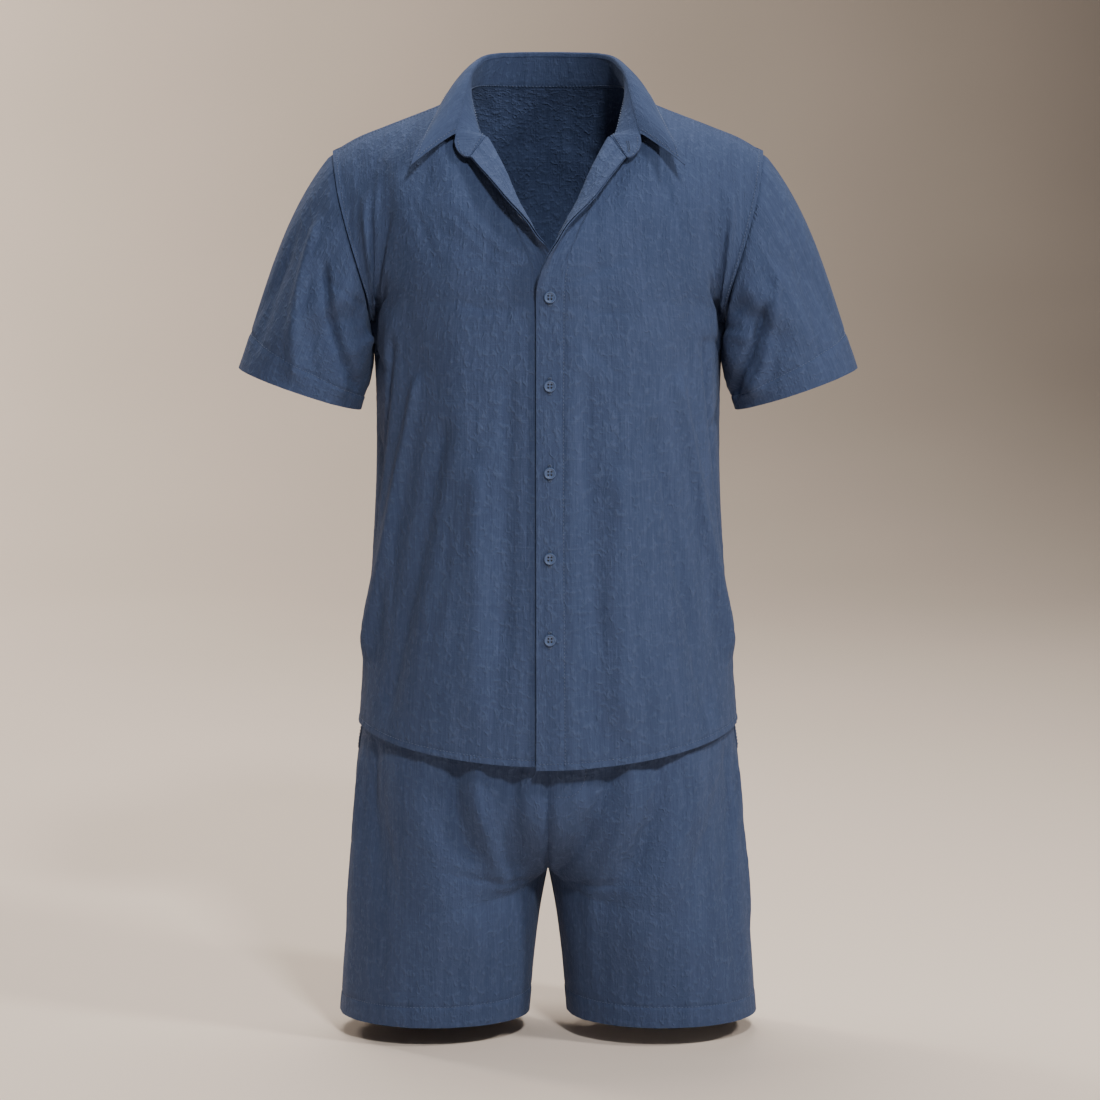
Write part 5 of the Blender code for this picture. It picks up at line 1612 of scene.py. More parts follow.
@dataclass
class Collar:
    """The collar's stand and leaf, on the neckline of the shirt."""

    kit: Wardrobe
    shirt: Shirt
    stand_wall: float = 0.0021
    leaf_wall: float = 0.0017
    tip_lift: float = 0.0035
    stand_gap: float = 0.0002
    solid_stand_wall: float = 0.0026
    leaf_end: float = 0.87
    leaf_rise: float = 0.013
    leaf_fullness: float = 0.005
    tab_start: float = 0.88
    tab_end_height: float = 0.14
    leaf_stitch: float = 0.0048
    foot_row: float = 0.10
    top_row: float = 0.88
    strip_lines: tuple[float, ...] = (-1.0, -0.955, -0.85, -0.65, -0.42, -0.31, -0.20, -0.10)
    sizes: Table = Table(
        ("along", "fold_x", "fold_y", "fold_z", "edge_x", "edge_y", "edge_z"),
        (
            (0.00, 0.0000, 0.0610, 0.0480, 0.0000, 0.0920, 0.0080),
            (0.20, 0.0390, 0.0525, 0.0475, 0.0520, 0.0835, 0.0080),
            (0.36, 0.0640, 0.0330, 0.0450, 0.0840, 0.0570, 0.0080),
            (0.50, 0.0750, 0.0040, 0.0370, 0.1015, 0.0180, 0.0075),
            (0.66, 0.0830, -0.0250, 0.0225, 0.1105, -0.0220, 0.0000),
            (0.78, 0.0895, -0.0520, -0.0080, 0.1195, -0.0500, -0.0185),
            (0.87, 0.0950, -0.0680, -0.0335, 0.1310, -0.0780, -0.0380),
            (1.00, 0.0955, -0.0860, -0.0560, 0.1395, -0.0990, -0.0600),
        ),
    )

    def front_neckline(self, over: bool) -> tuple[Array, Array]:
        """A left front's neckline from its free corner, and the way out of its cloth there.

        Args:
            over: whether that front laps the other.

        Returns:
            Places along it, and the way out at each.
        """
        shirt = self.shirt
        top = shirt.lower_share + shirt.roll_share * (1 - shirt.lower_share)
        step = (1 - shirt.lower_share) / shirt.yoke_steps
        strip = np.array(self.strip_lines + (0.0,))
        rises = np.linspace(top, 1.0, 5)
        on_strip = shirt.front_point(strip, top + 0 * strip, over)
        below = shirt.front_point(strip, top - step + 0 * strip, over)
        edge = shirt.front_point(0 * rises, rises, over)
        beside = shirt.front_point(0 * rises + 1 / 11, rises, over)
        up, across = unit(on_strip - below), unit(edge - beside)
        line = np.concatenate((on_strip[:-1], edge))
        return line, np.concatenate((up[:-1], unit(up[-1:] + across[:1]), across[1:]))

    def neckline(self) -> tuple[Array, Array]:
        """The whole neckline from the left front's free corner to the right front's.

        Returns:
            Places along it, and the way out of the cloth at each.
        """
        shirt = self.shirt
        left = self.front_neckline(True)
        right = [values * FLIP for values in self.front_neckline(False)]
        half = np.linspace(0.0, shirt.back_neck_share, 6)[:-1]
        columns = np.concatenate((half[::-1], -half[1:]))
        step = (1 - shirt.lower_share) / shirt.yoke_steps
        back = shirt.back_point(columns, np.ones(len(columns)))
        out = unit(back - shirt.back_point(columns, np.full(len(columns), 1 - step)))
        line = np.concatenate((left[0], back, right[0][::-1]))
        return line, np.concatenate((left[1], out, right[1][::-1]))

    def build(self) -> Panel:
        """Builds the stand and the leaf.

        Returns:
            The stand, which carries a buttonhole.
        """
        seam, out = self.neckline()
        walked = np.concatenate(((0.0,), np.cumsum(np.linalg.norm(np.diff(seam, axis=0), axis=1))))
        along = walked / walked[-1] * 2 - 1
        side = np.where(along < 0, 1.0, -1.0)
        mirror = np.stack((side, 1 + 0 * side, 1 + 0 * side), axis=-1)
        fold = self.sizes.at(("fold_x", "fold_y", "fold_z"), np.abs(along)) * mirror
        tangent = unit(np.gradient(seam, axis=0))
        out = unit(out - tangent * (out * tangent).sum(-1, keepdims=True))
        foot = seam + out * self.stand_gap
        rounding = np.clip((np.abs(along) - self.tab_start) / (1 - self.tab_start), 0.0, 1.0)
        height = np.maximum(np.sqrt(1 - rounding**2), self.tab_end_height)[:, None]
        stand = np.array([foot + (fold - foot) * height * up for up in np.linspace(0.0, 1.0, 4)])
        inward = -grid_normals(stand)
        inward[0] = unit(inward[0] - out * np.minimum((out * inward[0]).sum(-1, keepdims=True), 0.0))
        stand_panel = self.finished("collar_stand", stand, inward, along, (0.235, 0.036), 0.0002)
        leaf_panel = self.make_leaf(stand, inward, along, side)
        kit = self.kit
        wall = 0.0009 + (self.stand_wall - 0.0009) * ease(0.0, 0.14, stand_panel.up)[:, None]
        piece = stand_panel.shell(wall, kit.collar_cloth, kit.collar.slot)
        kit.sheet(piece, (0.48, 0.037), Held.FOLDED, "shirt_collar_stand", 0.0125)
        piece = leaf_panel.shell(self.leaf_wall, kit.collar_cloth, kit.collar.slot)
        kit.sheet(piece, (0.57, 0.070), Held.FOLDED, "shirt_collar_leaf", 0.0237)
        self.sew(stand_panel, leaf_panel)
        return stand_panel

    def finished(self, name: str, points: Array, inward: Array, along: Array, size: Size,
                 depth: float) -> Panel:
        """A collar piece on finer lines, with a slight unevenness.

        Args:
            name: the piece's name.
            points: its coarse grid.
            inward: the wall's way at each point.
            along: places across it, from -1 to 1.
            size: its width and height.
            depth: how deep the unevenness is.

        Returns:
            The piece's panel.
        """
        fine = refined(refined(points, 5, 1), 4, 0)
        ways = unit(refined(refined(inward, 5, 1), 4, 0))
        lines = refined(along[:, None], 5, 0)[:, 0]
        panel = Panel(name, lines, np.linspace(0.0, 1.0, len(fine)), fine, size, False, ways)
        x, y = np.meshgrid(panel.across * size[0], panel.up * size[1])
        edges = np.minimum(ease(0.0, 0.15, np.meshgrid(lines, panel.up)[1]), 1.0)
        panel.lift(Crumple(21, depth / 0.0012).height(x, y) * edges, -ways)
        return panel

    def make_leaf(self, stand: Array, inward: Array, along: Array, side: Array) -> Panel:
        """The leaf, which rises from the stand's top edge and falls over it.

        Args:
            stand: the stand's grid.
            inward: the stand's wall ways.
            along: places across it, from -1 to 1.
            side: 1 on the wearer's left and -1 on the right.

        Returns:
            The leaf's panel.
        """
        under = np.abs(along) <= self.leaf_end
        at, side, inward = along[under], side[under], inward[-1][under]
        way = unit(stand[-1] - stand[-2])[under]
        share = np.abs(at) / np.abs(at).max()
        mirror = np.stack((side, 1 + 0 * side, 1 + 0 * side), axis=-1)
        tip = self.sizes.at(("edge_x", "edge_y", "edge_z"), share) * mirror
        tip[:, 1] -= self.tip_lift * ease(0.45, 0.85, share)
        start = stand[-1][under] + inward * self.solid_stand_wall
        flat = ease(0.55, 1.0, share)[:, None]
        outward = -inward * self.leaf_fullness * (1 - flat)
        crest = start + way * self.leaf_rise * (1 - 0.75 * flat) + outward * 0.4
        fall = start + (tip - start) * (0.42 + 0.10 * flat) + outward
        fall = fall + way * self.leaf_rise * (1.25 - 1.05 * flat)
        steps = np.linspace(0.0, 1.0, 6) ** 1.2
        leaf = np.array([bezier(start, crest, fall, tip, np.full(len(at), step)) for step in steps])
        ways = -grid_normals(leaf)
        turn = (ways * -inward).sum(-1, keepdims=True)
        ways = np.where(turn[:1] < 0, -ways, ways)
        ways[0] = -inward
        return self.finished("collar_leaf", leaf, ways, at, (0.24, 0.065), 0.0004)

    def sew(self, stand: Panel, leaf: Panel) -> None:
        """The rows of stitches along the collar's edges.

        Args:
            stand: the stand.
            leaf: the leaf.
        """
        thread = self.kit.shirt_thread
        steps = np.linspace(0.0, 1.0, 400)
        ends = leaf.across[0], leaf.across[-1]
        inset = self.leaf_stitch / leaf.size[0] / 1.05
        rim = 1 - self.leaf_stitch / 0.060
        low, high = ends[0] + inset, ends[1] - inset
        across = np.concatenate((np.full(80, low), low + (high - low) * steps, np.full(80, high)))
        up = np.concatenate((np.linspace(0.15, rim, 80), np.full(400, rim), np.linspace(rim, 0.15, 80)))
        thread.on(leaf, across, up)
        foot = self.foot_row + 0 * steps
        across = stand.across[0] + 0.03 + (stand.across[-1] - stand.across[0] - 0.06) * steps
        for wall, sense in ((0.0, -1.0), (self.stand_wall, 1.0)):
            ways = stand.spot(across, foot, stand.inward)
            thread.line(stand.spot(across, foot) + ways * wall, ways * sense)
        for first, last in ((stand.across[0], leaf.across[0]), (leaf.across[-1], stand.across[-1])):
            across = first + 0.012 + (last - first - 0.02) * np.linspace(0.0, 1.0, 60)
            top = np.full(60, self.top_row)
            ways = stand.spot(across, top, stand.inward)
            thread.line(stand.spot(across, top) + ways * self.stand_wall, ways)


@dataclass
class Shorts:
    """The shorts: four panels, waistband, fly facing and pocket edges."""

    kit: Wardrobe
    spacing: float = 0.0034
    crotch_z: float = -0.8040
    thigh_z: float = -0.8700
    fork_z: float = -0.7150
    band_bottom_z: float = -0.5350
    band_top_z: float = -0.5000
    fly_width: float = 0.042
    fly_bottom_z: float = -0.7040
    fly_curve: float = 0.030
    fly_row_x: Triple = (0.004, 0.016, 0.034)
    fly_row_z: float = -0.7085
    fly_row_top_z: float = -0.545
    pocket_low_z: float = -0.6750
    pocket_width: float = 0.012
    pocket_outer: float = 0.955
    pocket_top_inset: float = 0.055
    pocket_flat_from: float = 0.62
    gathers: int = 4
    gather_depth: float = 0.0026
    gather_fade_z: float = -0.650
    fullness: float = 0.055
    hem_stitch: float = 0.022
    band_wall: float = 0.0026
    band_ribs: int = 60
    left_folds: tuple[Fold, ...] = folds(
        (0.22, 0.72, 0.08, 0.34, 0.0090, -0.0062), (0.28, 0.76, 0.26, 0.22, 0.0095, 0.0052),
        (0.36, 0.80, 0.37, 0.36, 0.0080, -0.0056), (0.46, 0.78, 0.50, 0.30, 0.0110, 0.0030),
        (0.84, 0.66, 0.92, 0.22, 0.0108, 0.0034), (0.72, 0.70, 0.78, 0.26, 0.0108, -0.0036),
    )
    right_folds: tuple[Fold, ...] = folds(
        (0.10, 0.74, 0.17, 0.36, 0.0090, -0.0062), (0.30, 0.80, 0.33, 0.42, 0.0085, -0.0060),
        (0.22, 0.80, 0.25, 0.30, 0.0090, 0.0050), (0.42, 0.78, 0.44, 0.40, 0.0100, 0.0028),
        (0.80, 0.68, 0.90, 0.22, 0.0108, 0.0034), (0.66, 0.72, 0.72, 0.28, 0.0108, -0.0034),
    )
    steps: tuple[int, int, int] = (4, 5, 5)
    size: Size = (0.27, 0.42)
    leg_length: float = 0.44
    upright_at: float = 0.11
    hips: Table = Table(
        ("z", "half_width", "front", "back"),
        (
            (-0.8040, 0.2095, 0.1170, 0.1280),
            (-0.7165, 0.2035, 0.1195, 0.1320),
            (-0.6540, 0.1968, 0.1180, 0.1300),
            (-0.6150, 0.1905, 0.1150, 0.1260),
            (-0.5750, 0.1760, 0.1090, 0.1170),
            (-0.5350, 0.1560, 0.1000, 0.1040),
            (-0.5000, 0.1530, 0.0980, 0.1020),
        ),
    )
    leg: Table = Table(
        ("z", "outer", "inner", "front", "back"),
        (
            (-0.9580, 0.2210, 0.0200, 0.0930, 0.1030),
            (-0.8930, 0.2160, 0.0140, 0.0985, 0.1100),
            (-0.8500, 0.2125, 0.0085, 0.1030, 0.1150),
            (-0.8040, 0.2095, 0.0000, 0.1080, 0.1210),
            (-0.7000, 0.2020, -0.0200, 0.1120, 0.1250),
        ),
    )
    front_folds: tuple[Fold, ...] = folds(
        (0.10, 0.44, 0.24, 0.88, 0.018, -0.0022), (0.52, 0.72, 0.44, 0.12, 0.022, 0.0040),
        (0.80, 0.56, 0.88, 0.04, 0.012, 0.0030), (0.68, 0.66, 0.66, 0.20, 0.018, -0.0032),
        (0.20, 0.30, 0.24, 0.02, 0.024, 0.0026),
    )
    back_folds: tuple[Fold, ...] = folds(
        (0.10, 0.44, 0.30, 0.84, 0.020, -0.0024), (0.20, 0.30, 0.24, 0.02, 0.024, 0.0026),
        (0.52, 0.70, 0.50, 0.12, 0.022, 0.0036), (0.82, 0.56, 0.88, 0.04, 0.014, 0.0028),
    )
    left_creases: tuple[Fold, ...] = folds(
        (0.10, 0.62, 0.20, 0.44, 0.0060, -0.0020), (0.36, 0.74, 0.33, 0.44, 0.0065, 0.0030),
        (0.44, 0.72, 0.47, 0.46, 0.0060, -0.0027), (0.08, 0.30, 0.44, 0.36, 0.0060, -0.0020),
        (0.30, 0.34, 0.26, 0.08, 0.0080, 0.0019), (0.62, 0.60, 0.60, 0.30, 0.0075, -0.0022),
        (0.86, 0.50, 0.92, 0.14, 0.0065, 0.0024), (0.74, 0.40, 0.80, 0.10, 0.0080, -0.0019),
    )
    right_creases: tuple[Fold, ...] = folds(
        (0.16, 0.58, 0.22, 0.36, 0.0065, -0.0022), (0.10, 0.60, 0.14, 0.80, 0.0055, -0.0027),
        (0.26, 0.78, 0.32, 0.52, 0.0065, -0.0030), (0.20, 0.76, 0.22, 0.50, 0.0060, 0.0024),
        (0.08, 0.32, 0.46, 0.40, 0.0060, -0.0020), (0.40, 0.30, 0.36, 0.06, 0.0080, 0.0018),
        (0.58, 0.64, 0.64, 0.34, 0.0075, -0.0023), (0.84, 0.54, 0.94, 0.18, 0.0065, 0.0024),
        (0.70, 0.30, 0.72, 0.08, 0.0080, -0.0018),
    )
    seat_creases: tuple[Fold, ...] = folds(
        (0.12, 0.60, 0.22, 0.40, 0.0070, -0.0024), (0.40, 0.66, 0.38, 0.34, 0.0070, 0.0024),
        (0.60, 0.60, 0.62, 0.26, 0.0080, -0.0022), (0.84, 0.52, 0.90, 0.16, 0.0070, 0.0022),
    )

    def section(self, u: Array, z: Array, half: Half) -> Array:
        """The level section at z: a leg's half ring that opens into a quarter of the hips.

        Args:
            u: share from the centre to the side.
            z: height.
            half: front or back.

        Returns:
            The points.
        """
        outer, inner, depth = np.moveaxis(self.leg.at(("outer", "inner", half.word), z), -1, 0)
        angle = math.pi * u
        leg_x = (outer + inner) / 2 - (outer - inner) / 2 * np.cos(angle)
        leg_y = half.value * depth * np.sin(angle)
        width, deep = np.moveaxis(self.hips.at(("half_width", half.word), z), -1, 0)
        fuller = 1 + self.fullness * np.sin(angle) ** 2
        hip_x = width * np.sin(angle / 2) * fuller
        hip_y = half.value * deep * np.cos(angle / 2) * fuller
        opened = ease(self.thigh_z, self.fork_z + 0.02, z)
        x = leg_x + (hip_x - leg_x) * opened
        y = leg_y + (hip_y - leg_y) * opened
        return np.stack((x, y, z + 0 * x), axis=-1)

    def point(self, across: Array, up: Array, half: Half) -> Array:
        """Outer face of the left leg: across 0 at the centre and inseam, up 0 at the hem.

        Args:
            across: share across the panel.
            up: share up the panel.
            half: front or back.

        Returns:
            The points.
        """
        leg_steps, fork_steps = self.steps[:2]
        leg_share = leg_steps / sum(self.steps)
        fork_share = (leg_steps + fork_steps) / sum(self.steps)
        hem_z = self.leg.rows[0][0]

        def form(u: Array, v: Array) -> Array:
            """The leg without its folds.

            Args:
                u: share across the panel.
                v: share up the panel.

            Returns:
                The points.
            """
            fork = np.clip((v - leg_share) / (fork_share - leg_share), 0.0, 1.0) * math.pi / 2
            leg_z = hem_z + (self.crotch_z - hem_z) * np.clip(v / leg_share, 0.0, 1.0)
            fork_z = self.crotch_z + (self.fork_z - self.crotch_z) * (1 - np.cos(fork))
            hip_up = np.clip((v - fork_share) / (1 - fork_share), 0.0, 1.0)
            centre_z = np.where(v < leg_share, leg_z, fork_z + (self.band_bottom_z - self.fork_z) * hip_up)
            side_z = hem_z + (self.band_bottom_z - hem_z) * v
            section_z = centre_z + (side_z - centre_z) * (1 - (1 - u) ** 2.5)
            points = self.section(u, section_z, half)
            seam_y = half.value * np.sin(fork) * self.hips.one(half.word, centre_z)
            inner = self.leg.one("inner", centre_z) * (v < leg_share)
            seam = np.stack((inner, seam_y, centre_z), axis=-1)
            return points + (seam - self.section(0 * u, centre_z, half)) * ((1 - u) ** 5)[..., None]

        folds = self.front_folds if half is Half.FRONT else self.back_folds
        lift = fold_height(across, up, folds, self.size)
        lift = lift * ease(0.0, 0.10, across) * ease(0.0, 0.08, 1 - across) * ease(0.0, 0.12, 1 - up)
        smooth = form(across, up)
        gathered = ease(self.gather_fade_z, self.band_bottom_z - 0.012, smooth[..., 2])
        gathered = gathered * ease(0.0, 0.05, across) * ease(0.0, 0.05, 1 - across)
        if half is Half.FRONT:
            gathered = gathered * (1 - ease(self.pocket_flat_from, self.pocket_flat_from + 0.12, across))
        waves = np.sin(2 * math.pi * self.gathers * across) * self.gather_depth * gathered
        inside = np.clip(across, 0.004, 0.996), np.clip(up, 0.004, 0.996)
        outward = normals_of(form, *inside) * -half.value
        return smooth + outward * (lift + waves)[..., None]

    def make_panel(self, side: Side, half: Half) -> Panel:
        """One of the four panels, with its relief.

        Args:
            side: the wearer's side.
            half: front or back.

        Returns:
            The panel.
        """
        length = self.leg_length
        stitch = self.hem_stitch / length
        near = (stitch - 0.006, stitch - 0.003, stitch, stitch + 0.003, stitch + 0.006)
        ups = spaced(0.0, 1.0, length, self.spacing, near)
        columns = spaced(0.0, 1.0, self.size[0], self.spacing)
        across, up = np.meshgrid(columns, ups)
        panel = Panel(f"{half.word}_{side.word}_leg", columns, ups, self.point(across, up, half), self.size)
        sense = -half.value
        x, y = across * self.size[0], up * self.size[1]
        calm = ease(0.0, 0.03, across) * ease(0.0, 0.03, 1 - across) * ease(0.0, 0.05, 1 - up)
        creases = {(Side.LEFT, Half.FRONT): self.left_creases, (Side.RIGHT, Half.FRONT): self.right_creases}
        chosen = creases.get((side, half), self.seat_creases)
        seed = 31 + (0 if side is Side.LEFT else 2) + (0 if half is Half.FRONT else 1)
        relief = (Crumple(seed, 0.9).height(x, y) + crease_height(across, up, chosen, self.size)) * calm
        own = self.left_folds if side is Side.LEFT else self.right_folds
        relief = relief + fold_height(across, up, own, self.size) * calm
        above = up * length - self.hem_stitch
        waves = puckers(x, 0.016, 0.083)
        relief = relief + 0.0004 * (1 - ease(-0.001, 0.001, above)) - 0.0009 * bump(0.0, 0.0017, above)
        relief = relief + 0.0004 * waves * bump(0.0, 0.009, above)
        centre = bump(0.0, 0.0042, x) * ease(self.steps[0] / sum(self.steps), 0.45, up)
        relief = relief - 0.0046 * centre
        panel.lift(relief, panel.normals() * sense)
        steps = np.linalg.norm(np.diff(panel.points[..., :2], axis=1), axis=-1)
        walked = np.concatenate((np.zeros((len(ups), 1)), np.cumsum(steps, axis=1)), axis=1)
        middle = [np.interp(self.upright_at, row_x, row) for row_x, row in zip(panel.points[..., 0], walked)]
        panel.weft = self.upright_at + walked - np.array(middle)[:, None]
        leg = np.searchsorted(ups, self.steps[0] / sum(self.steps) + 1e-9)
        panel.points[:, -1, 1] = 0.0
        panel.points[:leg, 0, 1] = 0.0
        panel.points[leg:, 0, 0] = 0.0
        panel.inward = -panel.normals() * sense
        panel.inward[:, -1] = (-1.0, 0.0, 0.0)
        panel.inward[:leg, 0] = (1.0, 0.0, 0.0)
        return panel if side is Side.LEFT else panel.mirrored(panel.name)

    def laid_on(self, panel: Panel, name: str, shares: Array, levels: Array, out: float, wall: float,
                size: Size, node: str) -> Panel:
        """A flat piece that follows a front at given levels, moved out from it.

        Args:
            panel: the front.
            name: the piece's name.
            shares: shares across the front, one row for each of the piece's rows.
            levels: world heights, of the same shape.
            out: how far out it lies.
            wall: its thickness.
            size: its cut size.
            node: the solid that it stands for.

        Returns:
            The piece's panel.
        """
        ups = np.vectorize(panel.up_at)(shares, levels)
        ways = unit(panel.spot(shares, ups, panel.inward))
        points = panel.spot(shares, ups) - ways * out
        rows, columns = shares.shape
        made = Panel(name, np.linspace(0, 1, columns), np.linspace(0, 1, rows), points, size, False, ways)
        piece = made.shell(wall, self.kit.cloth, self.kit.linen.slot)
        self.kit.sheet(piece, size, Held.FOLDED, node)
        return made

    def build_pocket_edge(self, panel: Panel, side: Side) -> None:
        """The bound edge of a side pocket, with its stitching.

        Args:
            panel: the front.
            side: the wearer's side.
        """
        along = np.linspace(0.0, 1.0, 45)
        outer = self.pocket_outer - self.pocket_top_inset / self.size[0] * along**1.5
        cross = np.linspace(1.0, 0.0, 6)
        shares = outer[:, None] - self.pocket_width / self.size[0] * cross[None, :]
        z = self.pocket_low_z + (self.band_bottom_z - 0.004 - self.pocket_low_z) * along
        levels = np.repeat(z[:, None], 6, axis=1)
        name = f"pocket_edge_{side.word}"
        made = self.laid_on(panel, name, shares, levels, 0.0009, 0.0007, (0.010, 0.152), f"shorts_{name}")
        for share in (0.12, 0.55):
            self.kit.shorts_thread.on(made, np.full(60, share), np.linspace(0.01, 0.99, 60))

    def build_fly(self, panel: Panel) -> None:
        """The fly's facing behind the left front, and the curved row of stitches that holds it.

        Args:
            panel: the left front.
        """
        across = np.linspace(0.0, 1.0, 13)
        shares = 0.006 + across * self.fly_width / self.size[0]
        foot = self.fly_bottom_z + self.fly_curve * (1 - np.sqrt(1 - across**3 * 0.98))
        rise = np.linspace(0.0, 1.0, 40)[:, None]
        levels = foot[None, :] + (self.band_bottom_z - 0.004 - foot[None, :]) * rise
        grid_shares = np.repeat(shares[None, :], 40, axis=0)
        name = "fly_facing"
        self.laid_on(panel, name, grid_shares, levels, -0.0016, 0.0008, (0.046, 0.163), f"shorts_{name}")
        turn = np.linspace(0.0, math.pi / 2, 30)
        first, bend, last = self.fly_row_x
        x = np.concatenate((np.linspace(first, bend, 12), bend + (last - bend) * np.sin(turn), np.full(60, last)))
        low = self.fly_row_z
        upright = np.linspace(low + self.fly_curve, self.fly_row_top_z, 60)
        z = np.concatenate((np.full(12, low), low + self.fly_curve * (1 - np.cos(turn)), upright))
        shares = x / self.size[0]
        self.kit.shorts_thread.on(panel, shares, np.vectorize(panel.up_at)(shares, z))

    def build_waistband(self) -> None:
        """The elastic waistband, a ring with fine upright gathers."""
        quarter = np.linspace(0.0, math.pi / 2, 61)
        rows = []
        levels = np.linspace(self.band_bottom_z, self.band_top_z, 13)
        for z in levels:
            ring = []
            for side, half in ((1, Half.FRONT), (1, Half.BACK), (-1, Half.BACK), (-1, Half.FRONT)):
                width, depth = self.hips.at(("half_width", half.word), np.array(z))
                angle = quarter if side * -half.value > 0 else quarter[::-1]
                fuller = 1 + self.fullness * np.sin(2 * angle) ** 2
                x = side * width * np.sin(angle) * fuller
                y = half.value * depth * np.cos(angle) * fuller
                ring.append(np.stack((x, y, np.full_like(x, z)), axis=-1)[:-1])
            rows.append(np.concatenate(ring))
        points = np.array(rows)
        around = np.linspace(0.0, 1.0, points.shape[1] + 1)[:-1]
        panel = Panel("waistband", around, np.linspace(0, 1, 13), points, (0.80, 0.035), True)
        middle = np.sin(math.pi * np.linspace(0, 1, 13))[:, None] ** 0.5
        ribs = np.sin(around * 2 * math.pi * self.band_ribs + 1.3 * np.sin(around * 2 * math.pi * 7))[None, :]
        panel.lift(0.0005 * ribs * middle + 0.0003 * middle, panel.normals())
        panel.inward = -panel.normals()
        piece = panel.shell(self.band_wall, self.kit.cloth, self.kit.linen.slot)
        self.kit.sheet(piece, (1.05, 0.036), Held.GATHERED, "shorts_waistband")

    def build(self) -> None:
        """Builds the panels and what is sewn to them."""
        steps = np.linspace(0.0, 1.0, 220)
        for side in Side:
            for half in Half:
                panel = self.make_panel(side, half)
                piece = panel.shell(self.kit.wall, self.kit.cloth, self.kit.linen.slot)
                length, area = (0.49, 0.123) if half is Half.FRONT else (0.50, 0.1285)
                self.kit.sheet(piece, (0.34, length), Held.GATHERED, f"shorts_{half.word}_{side.word}", area)
                up = self.hem_stitch / self.leg_length + 0 * steps
                across = 0.01 + 0.98 * steps
                self.kit.shorts_thread.on(panel, across, up)
                if half is Half.FRONT:
                    self.build_pocket_edge(panel, side)
                    if side is Side.LEFT:
                        self.build_fly(panel)
        self.build_waistband()


